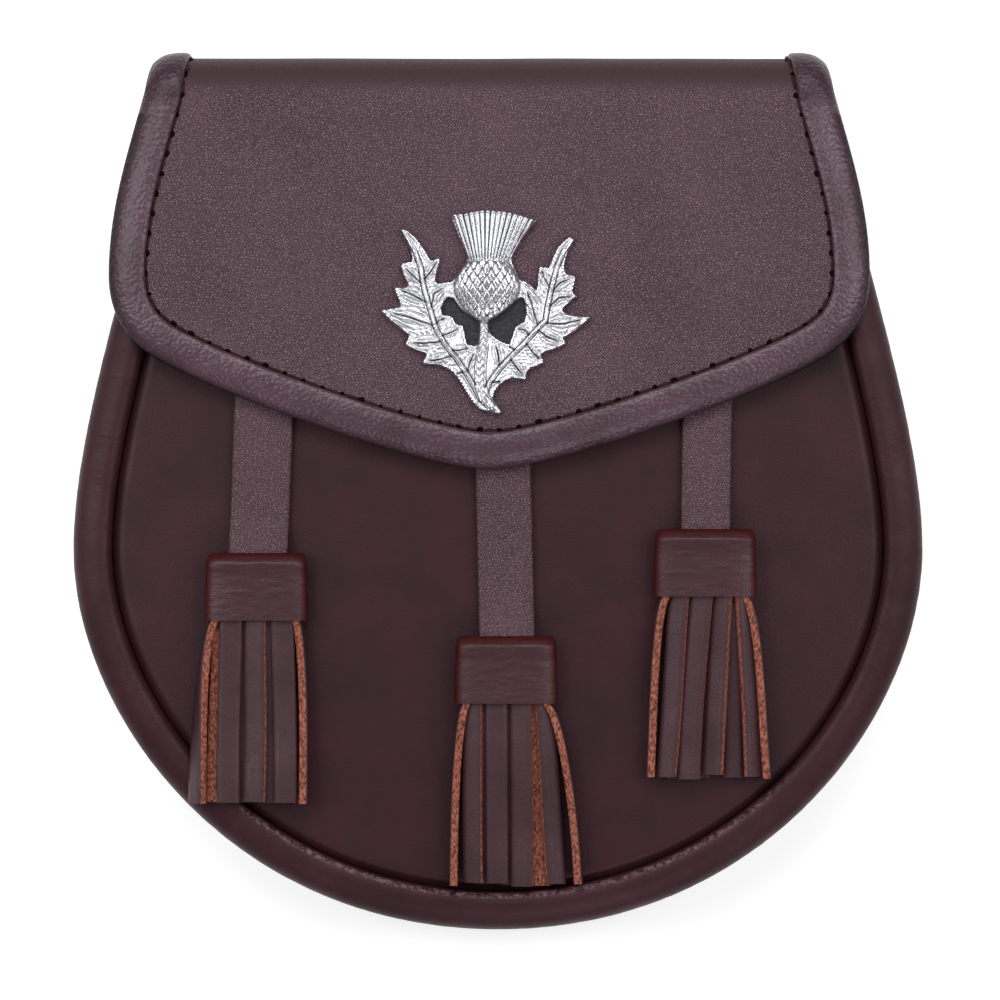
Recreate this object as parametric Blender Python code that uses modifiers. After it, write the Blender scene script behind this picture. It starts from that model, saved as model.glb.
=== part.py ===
# A leather sporran pouch, lying on its back with its front facing up.
# X runs across the front, Y from the bottom of the pouch to its top, Z up from the surface it lies on.
# Every length is in metres.

import math
from collections import namedtuple

import bmesh
import bpy
from mathutils import Vector
from mathutils.geometry import interpolate_bezier

# Clearance between two pieces that touch
GAP = 0.0003

# Pouch body
POUCH_HALF_WIDTH = 0.0980
POUCH_HEIGHT = 0.1968
PANEL_THICKNESS = 0.0020
PANEL_CROWN = 0.0025
BACK_THICKNESS = 0.0020
BACK_SETBACK = 0.0010
GUSSET_THICKNESS = 0.0020
GUSSET_SETBACK = 0.0020
GUSSET_FOLD = 0.0025

# Padded roll round the front panel
ROLL_DIAMETER = 0.0090
ROLL_AXIS_Z = 0.0300

# Flap over the mouth
FLAP_HALF_WIDTH = 0.0875
FLAP_TOP_HALF_WIDTH = 0.0773
FLAP_DROP = 0.0938
FLAP_THICKNESS = 0.0022
FLAP_SIDE_SHIFT = -0.0020
FLAP_CROWN = 0.0018
FLAP_CROWN_RUN = 0.0300
FLAP_FOLD_RADIUS = 0.0070
FLAP_BACK_FOLD_RADIUS = 0.0050
FLAP_TAIL_LENGTH = 0.0140
FLAP_TAIL_HALF_WIDTH = 0.0700
MOUTH_CLEARANCE = 0.0006

# Binding folded round the flap's edge
BINDING_WIDTH = 0.0085
BINDING_THICKNESS = 0.0050
BINDING_LEATHER = 0.0011

# Hidden press stud under the flap
STUD_RADIUS = 0.0060
STUD_BELOW_FOLD = 0.0600

# Thistle badge on the flap
BADGE_WIDTH = 0.0478
BADGE_HEIGHT = 0.0472
BADGE_BELOW_FOLD = 0.0573
BADGE_SIDE_SHIFT = -0.0028
BADGE_PLATE = 0.0020
BADGE_BULB_HALF_WIDTH = 0.0079
BADGE_BULB_HALF_HEIGHT = 0.0090
BADGE_BULB_RISE = 0.0038
CROWN_LENGTH = 0.0186
CROWN_ROOT_RADIUS = 0.0060
CROWN_SCALLOP = 0.0009
CROWN_RISE = 0.0015
LEAF_RIB_RADIUS = 0.0009
RELIEF_SINK = 0.0003

# Tassel straps, sleeves and fringes
STRAP_WIDTH = 0.0126
STRAP_THICKNESS = 0.0024
STRAP_TUCK = 0.0160
STRAP_RISE_RUN = 0.0080
CAP_WIDTH = 0.0222
CAP_FLARE = 0.0016
CAP_HEIGHT = 0.0155
CAP_LEATHER = 0.0018
CAP_TOP_WALL = 0.0025
CAP_EDGE_ROUND = 0.0012
STRAP_IN_CAP = 0.0030
FRINGE_LENGTH = 0.0420
FRINGE_THICKNESS = 0.0026
FRINGE_HEAD_WIDTH = 0.0176
FRINGE_SLIT = 0.0006
FRINGE_STRIPS = 5
FRINGE_TWIST = 0.0008

# Belt loops behind the pouch
LOOP_WIDTH = 0.0220
LOOP_LENGTH = 0.0500
LOOP_THICKNESS = 0.0016
LOOP_FROM_MIDDLE = 0.0380
LOOP_BELOW_FOLD = 0.0517
BELT_ROOM = 0.0066

# Steps along each curve of an outline
POUCH_CURVE_STEPS = 13
FLAP_CURVE_STEPS = 8
FOLD_STEPS = 5

# Half outline of the pouch, from its mouth to its bottom. Each row is one curve of four points,
# and each point is a share of the half width and a share of the height above the bottom.
POUCH_CURVES = [
    ((0.757, 1.000), (0.888, 0.743), (1.000, 0.575), (1.000, 0.446)),
    ((1.000, 0.446), (1.000, 0.253), (0.633, 0.000), (0.000, 0.000)),
]

# Half outline of the flap's front, from the fold to the point. Each row is one curve of four points,
# and each point is a share of the half width and a share of the way down from the fold.
FLAP_CURVES = [
    ((0.906, 0.000), (0.949, 0.158), (1.000, 0.308), (1.000, 0.486)),
    ((1.000, 0.486), (1.000, 0.590), (0.949, 0.665), (0.869, 0.710)),
    ((0.869, 0.710), (0.709, 0.804), (0.160, 1.000), (0.000, 1.000)),
]

# Section of the gusset, from the back panel to the roll
GussetRow = namedtuple("GussetRow", "depth_share fold_share")
GUSSET_SECTION = [
    GussetRow(0.00, 0.0),
    GussetRow(0.12, 0.0),
    GussetRow(0.50, 1.0),
    GussetRow(0.88, 0.0),
    GussetRow(1.00, 0.0),
]

# Outer face of the binding's section, from its upper lip round the nose to the flap's middle.
# inward is a share of the binding's width, and rise is a share of its half thickness.
BindingRow = namedtuple("BindingRow", "inward rise")
BINDING_SECTION = [
    BindingRow(1.00, 0.84),
    BindingRow(0.82, 0.98),
    BindingRow(0.50, 1.00),
    BindingRow(0.20, 0.92),
    BindingRow(0.05, 0.58),
]

# Side view of a belt loop. along is a share of its length, and drop runs from 0 on the back panel
# to 1 on the surface that the pouch lies on.
LoopRow = namedtuple("LoopRow", "along drop")
LOOP_PATH = [
    LoopRow(-0.50, 0.00),
    LoopRow(-0.32, 0.00),
    LoopRow(-0.29, 0.12),
    LoopRow(-0.22, 0.88),
    LoopRow(-0.19, 1.00),
    LoopRow(0.19, 1.00),
    LoopRow(0.22, 0.88),
    LoopRow(0.29, 0.12),
    LoopRow(0.32, 0.00),
    LoopRow(0.50, 0.00),
]

# The three tassels. cap_across is a share of the pouch's half width, cap_up a share of its height,
# strap_lean is how far the strap's top stands to one side of the cap, as a share of the strap's width,
# and each spread is how far the fringe opens on that side, as a share of its length.
Tassel = namedtuple("Tassel", "side cap_across cap_up strap_lean spread_left spread_right")
TASSELS = [
    Tassel("left", -0.570, 0.4420, 0.20, 0.150, 0.070),
    Tassel("centre", 0.017, 0.3450, -0.12, 0.080, 0.150),
    Tassel("right", 0.484, 0.4700, 0.06, 0.120, 0.120),
]

# Rings of the front panel, as shares of its outline
PANEL_RINGS = [1.00, 0.76, 0.50, 0.24]

# Outline of the badge and of its two piercings, drawn on a grid of a hundred squares each way
# with its zero in the middle of the badge: across, then up.
BADGE_OUTLINE = [
    (-16, 47), (-8, 49), (3, 50), (13, 48), (23, 44),
    (18, 35), (13, 24), (15, 20), (17, 14), (24, 11),
    (25, 20), (30, 22), (33, 30), (41, 35), (38, 25),
    (38, 18), (42, 17), (41, 10), (44, 7), (36, -1),
    (50, -3), (38, -13), (38, -16), (26, -21), (27, -25),
    (20, -29), (18, -34), (10, -32), (3, -41), (8, -50),
    (-4, -47), (-10, -41), (-15, -32), (-19, -26), (-31, -25),
    (-29, -20), (-38, -17), (-37, -12), (-50, 0), (-40, 2),
    (-44, 10), (-37, 12), (-40, 22), (-35, 24), (-35, 29),
    (-40, 39), (-31, 34), (-26, 24), (-21, 26), (-24, 14),
    (-15, 14), (-13, 20), (-9, 24), (-12, 35),
]
BADGE_PIERCINGS = [
    [(-18, 6), (-20, 1), (-17, -4), (-15, -8), (-11, -7), (-10, -13), (-9, -16), (-4, -16),
     (-4, -4), (-10, 0), (-14, 4)],
    [(2, -4), (9, 0), (13, 4), (18, 6), (19, -5), (13, -7), (10, -16), (3, -12)],
]

# Raised ribs of the badge's leaves and stem, on the same grid
BADGE_RIBS = {
    "left_leaf_rib": [(-33, 14), (-28, 0), (-19, -15), (-9, -32)],
    "right_leaf_rib": [(34, 6), (27, -6), (16, -18), (6, -28)],
    "stem_rib": [(-1, 2), (-1, -19), (-2, -34), (3, -44)],
}

# Crown of the badge: where its ribs meet on the grid, how many it has, and the angles from straight up
# at which it starts and ends
CROWN_ROOT = (1, 12)
CROWN_RIBS = 9
CROWN_LEFT_ANGLE = -29
CROWN_RIGHT_ANGLE = 36

# Where the bulb of the badge sits on the grid
BULB_CENTRE = (1, 10)

# Levels that follow from the sizes
OVERALL_HEIGHT = POUCH_HEIGHT + MOUTH_CLEARANCE + BINDING_THICKNESS
BOTTOM_Y = -OVERALL_HEIGHT / 2
MOUTH_Y = BOTTOM_Y + POUCH_HEIGHT
FOLD_Y = MOUTH_Y + MOUTH_CLEARANCE + BINDING_THICKNESS / 2
FOLD_START_Y = FOLD_Y - FLAP_FOLD_RADIUS
FLAP_POINT_Y = FOLD_Y - FLAP_DROP
ROLL_RADIUS = ROLL_DIAMETER / 2
ROLL_CREST_Z = ROLL_AXIS_Z + ROLL_RADIUS
FLAP_Z = ROLL_CREST_Z + GAP + BINDING_THICKNESS / 2
BACK_BOTTOM_Y = BOTTOM_Y + BACK_SETBACK
LOOP_CENTRE_Y = FOLD_Y - LOOP_BELOW_FOLD
BACK_SLOPE = (LOOP_THICKNESS + BELT_ROOM) / (LOOP_CENTRE_Y - BACK_BOTTOM_Y)
BACK_TILT = math.atan(BACK_SLOPE)
BACK_TOP_Y = FOLD_Y - FLAP_BACK_FOLD_RADIUS
CAP_THICKNESS = 2 * CAP_LEATHER + FRINGE_THICKNESS + 2 * GAP
CAP_POCKET_WIDTH = FRINGE_HEAD_WIDTH + 2 * GAP
RELIEF_AXIS = BADGE_PLATE - RELIEF_SINK


# Scene set-up

def clear_scene():
    """Start from an empty scene."""
    for thing in list(bpy.data.objects):
        bpy.data.objects.remove(thing, do_unlink=True)


def new_collection(name):
    """A collection of the scene."""
    group = bpy.data.collections.new(name)
    bpy.context.scene.collection.children.link(group)
    return group


def new_material(name, colour, roughness, metallic=0.0):
    """A plain Principled material."""
    material = bpy.data.materials.new(name)
    material.use_nodes = True
    shader = material.node_tree.nodes["Principled BSDF"]
    shader.inputs["Base Color"].default_value = (*colour, 1.0)
    shader.inputs["Roughness"].default_value = roughness
    shader.inputs["Metallic"].default_value = metallic
    return material


def add_mesh(name, points, faces, group, material):
    """A named mesh object in a collection."""
    mesh = bpy.data.meshes.new(name)
    mesh.from_pydata([tuple(point) for point in points], [], faces)
    if material:
        mesh.materials.append(material)
    thing = bpy.data.objects.new(name, mesh)
    group.objects.link(thing)
    return thing


def add_solidify(thing, thickness):
    """Give an open sheet its thickness, half on each side."""
    wall = thing.modifiers.new("leather_thickness", "SOLIDIFY")
    wall.thickness = thickness
    wall.offset = 0.0
    wall.use_even_offset = True
    return wall


def smooth_round(thing, angle=35.0):
    """Shade a rounded piece smooth but keep its sharp edges."""
    thing.data.shade_smooth()
    thing.data.set_sharp_from_angle(angle=math.radians(angle))


# Plane curves

def mirrored(half):
    """A whole outline from its right half, which ends on the middle line."""
    left = [Vector((-point.x, point.y)) for point in half]
    return left + list(reversed(half))[1:]


def curve_points(curves, steps):
    """Points along a chain of Bezier curves."""
    points = []
    for curve in curves:
        samples = interpolate_bezier(*curve, steps + 1)
        points.extend(samples[1:] if points else samples)
    return points


def pouch_outline():
    """The pouch's outline, from its mouth's left end round the bottom to its right end."""
    curves = []
    for row in POUCH_CURVES:
        curves.append([Vector((POUCH_HALF_WIDTH * across, BOTTOM_Y + POUCH_HEIGHT * up)) for across, up in row])
    return mirrored(curve_points(curves, POUCH_CURVE_STEPS))


def inset(points, distance):
    """An open line moved sideways to its left by a distance."""
    moved = []
    last = len(points) - 1
    for index, point in enumerate(points):
        before = (point - points[index - 1]).normalized() if index > 0 else None
        after = (points[index + 1] - point).normalized() if index < last else None
        tangent = ((before or after) + (after or before)).normalized()
        lean = tangent.dot(after or before)
        normal = Vector((-tangent.y, tangent.x))
        moved.append(point + normal * (distance / lean))
    return moved


def cut_level(points, level):
    """A U-shaped line whose two ends are cut, or drawn out, to one height."""
    line = list(points)
    for _ in range(2):
        while line[1].y > level:
            line.pop(0)
        share = (level - line[1].y) / (line[0].y - line[1].y)
        line[0] = line[1] + (line[0] - line[1]) * share
        line.reverse()
    return line


def edge_distance(point, outline):
    """The shortest distance from a point to a line of points."""
    nearest = math.inf
    for start, end in zip(outline, outline[1:]):
        along = end - start
        share = (point - start).dot(along) / along.length_squared
        foot = start + along * min(max(share, 0.0), 1.0)
        nearest = min(nearest, (point - foot).length)
    return nearest


# Heights of the surfaces

def panel_top(x, y):
    """Height of the front panel's outer face."""
    middle_y = (MOUTH_Y + BOTTOM_Y) / 2
    half_height = POUCH_HEIGHT / 2
    across = 1 - (x / POUCH_HALF_WIDTH) ** 2
    along = 1 - ((y - middle_y) / half_height) ** 2
    return ROLL_AXIS_Z + PANEL_THICKNESS / 2 + PANEL_CROWN * max(across, 0.0) * max(along, 0.0)


def back_underside(y):
    """Height of the back panel's underside, which rises from its bottom edge to the loops."""
    return (y - BACK_BOTTOM_Y) * BACK_SLOPE


def back_upper_side(y):
    """Height of the back panel's inner face."""
    return back_underside(y) + BACK_THICKNESS / math.cos(BACK_TILT)


def resting_height(point, outline):
    """Height on which something lies at a point of the pouch's front, be it the panel or the roll."""
    from_edge = edge_distance(point, outline) - ROLL_RADIUS - 2 * GAP
    height = panel_top(point.x, point.y)
    if from_edge < ROLL_RADIUS:
        rise = math.sqrt(ROLL_RADIUS ** 2 - max(from_edge, 0.0) ** 2)
        height = max(height, ROLL_AXIS_Z + rise)
    return height


# Lofted sheets

def sheet_faces(rows, columns):
    """Faces of a grid of points, counted row by row."""
    faces = []
    for row in range(rows - 1):
        for column in range(columns - 1):
            corner = row * columns + column
            faces.append((corner, corner + 1, corner + columns + 1, corner + columns))
    return faces


def tube_faces(stations, count):
    """Faces of a closed section carried through a number of stations, with its two ends closed."""
    faces = []
    for station in range(stations - 1):
        for index in range(count):
            following = (index + 1) % count
            near = station * count
            far = near + count
            faces.append((near + index, far + index, far + following, near + following))
    faces.append(tuple(range(count)))
    faces.append(tuple(reversed(range((stations - 1) * count, stations * count))))
    return faces


def add_sheet(name, rows, thickness, group, material):
    """A leather sheet lofted through rows of points."""
    points = [point for row in rows for point in row]
    sheet = add_mesh(name, points, sheet_faces(len(rows), len(rows[0])), group, material)
    add_solidify(sheet, thickness)
    return sheet


# Pouch body

def build_front(outline, group, material):
    """The crowned front panel, made of rings that shrink to its middle."""
    edge = cut_level(inset(outline, ROLL_DIAMETER + GAP), MOUTH_Y)
    mouth_steps = 8
    end, start = edge[-1], edge[0]
    for step in range(1, mouth_steps):
        edge.append(end.lerp(start, step / mouth_steps))
    middle = Vector((0.0, (MOUTH_Y + BOTTOM_Y) / 2))
    points = []
    for ring in PANEL_RINGS:
        for corner in edge:
            place = middle.lerp(corner, ring)
            points.append((place.x, place.y, panel_top(place.x, place.y) - PANEL_THICKNESS / 2))
    points.append((middle.x, middle.y, panel_top(middle.x, middle.y) - PANEL_THICKNESS / 2))
    count = len(edge)
    faces = []
    for ring in range(len(PANEL_RINGS) - 1):
        for index in range(count):
            following = (index + 1) % count
            outer = ring * count
            inner = outer + count
            faces.append((outer + index, outer + following, inner + following, inner + index))
    inner = (len(PANEL_RINGS) - 1) * count
    for index in range(count):
        faces.append((inner + index, inner + (index + 1) % count, len(points) - 1))
    panel = add_mesh("pouch_front", points, faces, group, material)
    add_solidify(panel, PANEL_THICKNESS)
    smooth_round(panel)


def build_back(outline, group, material):
    """The flat back panel, tilted so that its bottom edge and the loops lie on one surface."""
    edge = cut_level(inset(outline, BACK_SETBACK), BACK_TOP_Y)
    curve = bpy.data.curves.new("pouch_back", "CURVE")
    curve.dimensions = "2D"
    curve.fill_mode = "BOTH"
    curve.extrude = BACK_THICKNESS / 2
    spline = curve.splines.new("POLY")
    spline.points.add(len(edge) - 1)
    spline.use_cyclic_u = True
    for knot, corner in zip(spline.points, edge):
        up_the_panel = (corner.y - BACK_BOTTOM_Y) / math.cos(BACK_TILT)
        knot.co = (corner.x, up_the_panel, 0.0, 1.0)
    curve.materials.append(material)
    panel = bpy.data.objects.new("pouch_back", curve)
    panel.rotation_euler.x = BACK_TILT
    panel.location = (0.0, BACK_BOTTOM_Y, BACK_THICKNESS / 2 * math.cos(BACK_TILT))
    group.objects.link(panel)


def build_gusset(outline, group, material):
    """The side wall between the two panels, with one soft fold along its middle."""
    top = ROLL_AXIS_Z - ROLL_RADIUS - GAP
    rows = []
    for section in GUSSET_SECTION:
        setback = GUSSET_SETBACK + GUSSET_THICKNESS / 2 + GUSSET_FOLD * section.fold_share
        row = []
        for place in cut_level(inset(outline, setback), MOUTH_Y):
            low = back_upper_side(place.y) + GAP
            row.append((place.x, place.y, low + (top - low) * section.depth_share))
        rows.append(row)
    gusset = add_sheet("pouch_gusset", rows, GUSSET_THICKNESS, group, material)
    smooth_round(gusset)


def build_roll(outline, group, material):
    """The padded roll that frames the front panel, a tube whose ends stop below the flap's fold."""
    path = cut_level(inset(outline, ROLL_RADIUS), FOLD_START_Y)
    curve = bpy.data.curves.new("edge_roll", "CURVE")
    curve.dimensions = "3D"
    curve.bevel_depth = ROLL_RADIUS
    curve.bevel_resolution = 4
    curve.use_fill_caps = True
    spline = curve.splines.new("POLY")
    spline.points.add(len(path) - 1)
    for knot, place in zip(spline.points, path):
        knot.co = (place.x, place.y, ROLL_AXIS_Z, 1.0)
    spline.use_smooth = True
    curve.materials.append(material)
    group.objects.link(bpy.data.objects.new("edge_roll", curve))


# Flap

def fold_lengths():
    """Lengths along the flap's leather of the front fold, the drop behind the mouth and the back fold."""
    end_y = FOLD_Y - FLAP_BACK_FOLD_RADIUS * (1 - math.sin(BACK_TILT))
    tail_z = back_underside(end_y) - (GAP + FLAP_THICKNESS / 2) / math.cos(BACK_TILT)
    back_centre_z = tail_z + FLAP_BACK_FOLD_RADIUS * math.cos(BACK_TILT)
    front = FLAP_FOLD_RADIUS * math.pi / 2
    drop = FLAP_Z - FLAP_FOLD_RADIUS - back_centre_z
    back = FLAP_BACK_FOLD_RADIUS * (math.pi / 2 - BACK_TILT)
    return front, drop, back


def flap_point(across, along):
    """A point in the middle of the flap's leather. along is the height on the front, and past the fold
    it runs on over the top, down behind the mouth and along the tail."""
    front, drop, back = fold_lengths()
    x = FLAP_SIDE_SHIFT + across
    past = along - FOLD_START_Y
    if past <= 0:
        run = min(-past / FLAP_CROWN_RUN, 1.0)
        fade = run * run * (3 - 2 * run)
        rise = FLAP_CROWN * (1 - (across / FLAP_HALF_WIDTH) ** 2) * fade
        return Vector((x, along, FLAP_Z + rise))
    if past <= front:
        turn = past / FLAP_FOLD_RADIUS
        y = FOLD_START_Y + FLAP_FOLD_RADIUS * math.sin(turn)
        return Vector((x, y, FLAP_Z - FLAP_FOLD_RADIUS * (1 - math.cos(turn))))
    past -= front
    if past <= drop:
        return Vector((x, FOLD_Y, FLAP_Z - FLAP_FOLD_RADIUS - past))
    past -= drop
    turn = min(past, back) / FLAP_BACK_FOLD_RADIUS
    y = FOLD_Y - FLAP_BACK_FOLD_RADIUS * (1 - math.cos(turn))
    z = FLAP_Z - FLAP_FOLD_RADIUS - drop - FLAP_BACK_FOLD_RADIUS * math.sin(turn)
    rest = max(past - back, 0.0)
    return Vector((x, y - rest * math.cos(BACK_TILT), z - rest * math.sin(BACK_TILT)))


def flap_normal(across, along):
    """The outward direction of the flap's leather at a point."""
    step = 0.00002
    sideways = flap_point(across + step, along) - flap_point(across - step, along)
    upwards = flap_point(across, along + step) - flap_point(across, along - step)
    return sideways.cross(upwards).normalized()


def flap_half_edge():
    """The right half of the bound edge, from its end behind the mouth to the flap's point."""
    front, drop, _ = fold_lengths()
    height = FOLD_START_Y - FLAP_POINT_Y
    curves = []
    for row in FLAP_CURVES:
        curves.append([Vector((FLAP_HALF_WIDTH * across, FOLD_START_Y - height * down)) for across, down in row])
    fold_half_width = curves[0][0].x
    edge = [
        Vector((FLAP_TOP_HALF_WIDTH, FOLD_START_Y + front + drop)),
        Vector((FLAP_TOP_HALF_WIDTH, FOLD_START_Y + front + drop / 2)),
    ]
    for step in range(FOLD_STEPS, 0, -1):
        share = step / FOLD_STEPS
        width = fold_half_width + (FLAP_TOP_HALF_WIDTH - fold_half_width) * share
        edge.append(Vector((width, FOLD_START_Y + front * share)))
    return edge + curve_points(curves, FLAP_CURVE_STEPS)


def flap_edge_height(across):
    """Height on the front of the flap's lower edge, at a distance from the flap's middle."""
    edge = flap_half_edge()
    for inner, outer in zip(reversed(edge), list(reversed(edge))[1:]):
        if inner.x <= abs(across) <= outer.x:
            share = (abs(across) - inner.x) / (outer.x - inner.x)
            return inner.y + (outer.y - inner.y) * share
    return edge[-1].y


def build_flap(group, material):
    """The flap, from its tail sewn behind the back panel, over the mouth and down to its point."""
    front, drop, back = fold_lengths()
    half = inset(mirrored(flap_half_edge()), BINDING_LEATHER + GAP)
    half = half[:len(half) // 2 + 1]
    drop_end = FOLD_START_Y + front + drop
    tail = [(FLAP_TAIL_HALF_WIDTH, drop_end + back + FLAP_TAIL_LENGTH), (FLAP_TAIL_HALF_WIDTH, drop_end + back)]
    for step in range(FOLD_STEPS - 1, 0, -1):
        share = step / FOLD_STEPS
        width = -half[0].x + (FLAP_TAIL_HALF_WIDTH + half[0].x) * share
        tail.append((width, drop_end + back * share))
    stations = tail + [(-place.x, place.y) for place in half[:-1]]
    columns = 9
    points = []
    for width, along in stations:
        for column in range(columns):
            points.append(flap_point(width * (2 * column / (columns - 1) - 1), along))
    faces = sheet_faces(len(stations), columns)
    points.append(flap_point(0.0, half[-1].y))
    last_row = (len(stations) - 1) * columns
    for column in range(columns - 1):
        faces.append((last_row + column, last_row + column + 1, len(points) - 1))
    flap = add_mesh("flap", points, faces, group, material)
    add_solidify(flap, FLAP_THICKNESS)
    smooth_round(flap)


def binding_section():
    """The C-shaped section of the binding: how far in from the edge, and how far off the leather's middle."""
    half = BINDING_THICKNESS / 2
    slot = FLAP_THICKNESS / 2 + GAP
    upper = [(BINDING_WIDTH * row.inward, half * row.rise) for row in BINDING_SECTION]
    lower = [(inward, -rise) for inward, rise in reversed(upper)]
    inner = [(BINDING_WIDTH, -slot), (BINDING_LEATHER, -slot), (BINDING_LEATHER, slot), (BINDING_WIDTH, slot)]
    return list(reversed(upper + [(0.0, 0.0)] + lower + inner))


def build_binding(group, material):
    """The binding, its section carried along the flap's edge."""
    edge = mirrored(flap_half_edge())
    section = binding_section()
    lines = [inset(edge, inward) for inward, _ in section]
    points = []
    for station in range(len(edge)):
        for (_, rise), line in zip(section, lines):
            place = line[station]
            points.append(flap_point(place.x, place.y) + flap_normal(place.x, place.y) * rise)
    binding = add_mesh("flap_binding", points, tube_faces(len(edge), len(section)), group, material)
    smooth_round(binding)


def build_stud(group, material):
    """The press stud between the front panel and the flap."""
    y = FOLD_Y - STUD_BELOW_FOLD
    low = panel_top(FLAP_SIDE_SHIFT, y) + GAP
    high = flap_point(0.0, y).z - FLAP_THICKNESS / 2 - GAP
    bpy.ops.mesh.primitive_cylinder_add(
        vertices=20,
        radius=STUD_RADIUS,
        depth=high - low,
        location=(FLAP_SIDE_SHIFT, y, (low + high) / 2),
    )
    take_over(bpy.context.object, "flap_stud", group, material)
    smooth_round(bpy.data.objects["flap_stud"])


def take_over(thing, name, group, material):
    """Name a new primitive, give it its material and move it to its collection."""
    thing.name = name
    thing.data.name = name
    if material:
        thing.data.materials.append(material)
    for owner in list(thing.users_collection):
        owner.objects.unlink(thing)
    group.objects.link(thing)


# Badge

def badge_place(across, up, rise=0.0):
    """A place on the badge's grid, in metres, above the flap's outer face."""
    y = FOLD_Y - BADGE_BELOW_FOLD
    seat = flap_point(BADGE_SIDE_SHIFT - FLAP_SIDE_SHIFT, y).z + FLAP_THICKNESS / 2 + GAP
    return Vector((BADGE_SIDE_SHIFT + BADGE_WIDTH * across / 100, y + BADGE_HEIGHT * up / 100, seat + rise))


def mesh_from_curve(thing, group):
    """A mesh object from a curve object, its caps joined on, in the same place."""
    bpy.context.view_layer.update()
    evaluated = thing.evaluated_get(bpy.context.evaluated_depsgraph_get())
    mesh = bpy.data.meshes.new_from_object(evaluated)
    body = bmesh.new()
    body.from_mesh(mesh)
    bmesh.ops.remove_doubles(body, verts=body.verts, dist=0.00001)
    bmesh.ops.recalc_face_normals(body, faces=body.faces)
    body.to_mesh(mesh)
    body.free()
    name = thing.name
    place = thing.matrix_world.copy()
    curve = thing.data
    bpy.data.objects.remove(thing)
    bpy.data.curves.remove(curve)
    solid = bpy.data.objects.new(name, mesh)
    solid.matrix_world = place
    group.objects.link(solid)
    return solid


def badge_plate(group):
    """The badge's flat ground, with its two piercings."""
    curve = bpy.data.curves.new("badge", "CURVE")
    curve.dimensions = "2D"
    curve.fill_mode = "BOTH"
    curve.extrude = BADGE_PLATE / 2
    for outline in [BADGE_OUTLINE] + BADGE_PIERCINGS:
        spline = curve.splines.new("POLY")
        spline.points.add(len(outline) - 1)
        spline.use_cyclic_u = True
        for knot, (across, up) in zip(spline.points, outline):
            knot.co = (BADGE_WIDTH * across / 100, BADGE_HEIGHT * up / 100, 0.0, 1.0)
    plate = bpy.data.objects.new("badge", curve)
    plate.location = badge_place(0, 0, BADGE_PLATE / 2)
    group.objects.link(plate)
    return mesh_from_curve(plate, group)


def badge_bulb(tools):
    """The round bulb of the thistle."""
    bpy.ops.mesh.primitive_uv_sphere_add(segments=18, ring_count=10, radius=1.0)
    bulb = bpy.context.object
    bulb.scale = (BADGE_BULB_HALF_WIDTH, BADGE_BULB_HALF_HEIGHT, BADGE_BULB_RISE)
    bpy.ops.object.transform_apply(location=False, rotation=False, scale=True)
    bulb.location = badge_place(*BULB_CENTRE, RELIEF_AXIS)
    body = bmesh.new()
    body.from_mesh(bulb.data)
    halves = bmesh.ops.bisect_plane(
        body,
        geom=body.verts[:] + body.edges[:] + body.faces[:],
        plane_co=(0.0, 0.0, -BADGE_PLATE / 2),
        plane_no=(0.0, 0.0, 1.0),
        clear_inner=True,
    )
    rim = [part for part in halves["geom_cut"] if isinstance(part, bmesh.types.BMEdge)]
    bmesh.ops.contextual_create(body, geom=rim)
    body.to_mesh(bulb.data)
    body.free()
    take_over(bulb, "badge_bulb", tools, None)
    return bulb


def badge_crown(tools):
    """The thistle's crown, a fan of ribs that widens and rises from the top of the bulb."""
    root = badge_place(*CROWN_ROOT)
    columns = 2 * CROWN_RIBS + 1
    points = []
    for column in range(columns):
        share = column / (columns - 1)
        turn = math.radians(CROWN_LEFT_ANGLE + (CROWN_RIGHT_ANGLE - CROWN_LEFT_ANGLE) * share)
        direction = Vector((math.sin(turn), math.cos(turn), 0.0))
        on_ridge = column % 2
        length = CROWN_LENGTH if on_ridge else CROWN_LENGTH - CROWN_SCALLOP
        rise = CROWN_RISE if on_ridge else CROWN_RISE / 3
        near = root + direction * CROWN_ROOT_RADIUS
        far = root + direction * length
        top = Vector((0.0, 0.0, BADGE_PLATE + rise))
        base = Vector((0.0, 0.0, RELIEF_SINK))
        points += [near + base, far + base, far + top, near + top - Vector((0.0, 0.0, rise / 2))]
    crown = add_mesh("badge_crown", points, tube_faces(columns, 4), tools, None)
    return crown


def badge_rib(name, places, tools):
    """A raised rib along a leaf or the stem."""
    curve = bpy.data.curves.new(name, "CURVE")
    curve.dimensions = "3D"
    curve.bevel_depth = LEAF_RIB_RADIUS
    curve.bevel_resolution = 2
    curve.use_fill_caps = True
    spline = curve.splines.new("POLY")
    spline.points.add(len(places) - 1)
    for knot, (across, up) in zip(spline.points, places):
        knot.co = (*badge_place(across, up, RELIEF_AXIS), 1.0)
    rib = bpy.data.objects.new(name, curve)
    tools.objects.link(rib)
    return mesh_from_curve(rib, tools)


def build_badge(group, tools, material):
    """The cast thistle: a pierced plate with its bulb, crown, ribs and stem raised on it."""
    badge = badge_plate(group)
    badge.data.materials.append(material)
    forms = [badge_bulb(tools), badge_crown(tools)]
    for name, places in BADGE_RIBS.items():
        forms.append(badge_rib(name, places, tools))
    for form in forms:
        join_form(badge, form, "UNION")
    smooth_round(badge, 30.0)


def join_form(solid, form, operation):
    """Join a form to a solid, or cut it away, and hide the form."""
    form.hide_render = True
    form.display_type = "WIRE"
    change = solid.modifiers.new(form.name, "BOOLEAN")
    change.operation = operation
    change.object = form
    change.solver = "EXACT"


# Tassels

def cap_base(tassel):
    """Height of a sleeve's underside, just clear of the crowned panel under it."""
    cap = cap_top_place(tassel)
    heights = []
    for side in (-0.5, 0.0, 0.5):
        for down in (0.0, 0.5, 1.0):
            heights.append(panel_top(cap.x + side * CAP_WIDTH, cap.y - down * CAP_HEIGHT))
    return max(heights) + GAP


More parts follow.
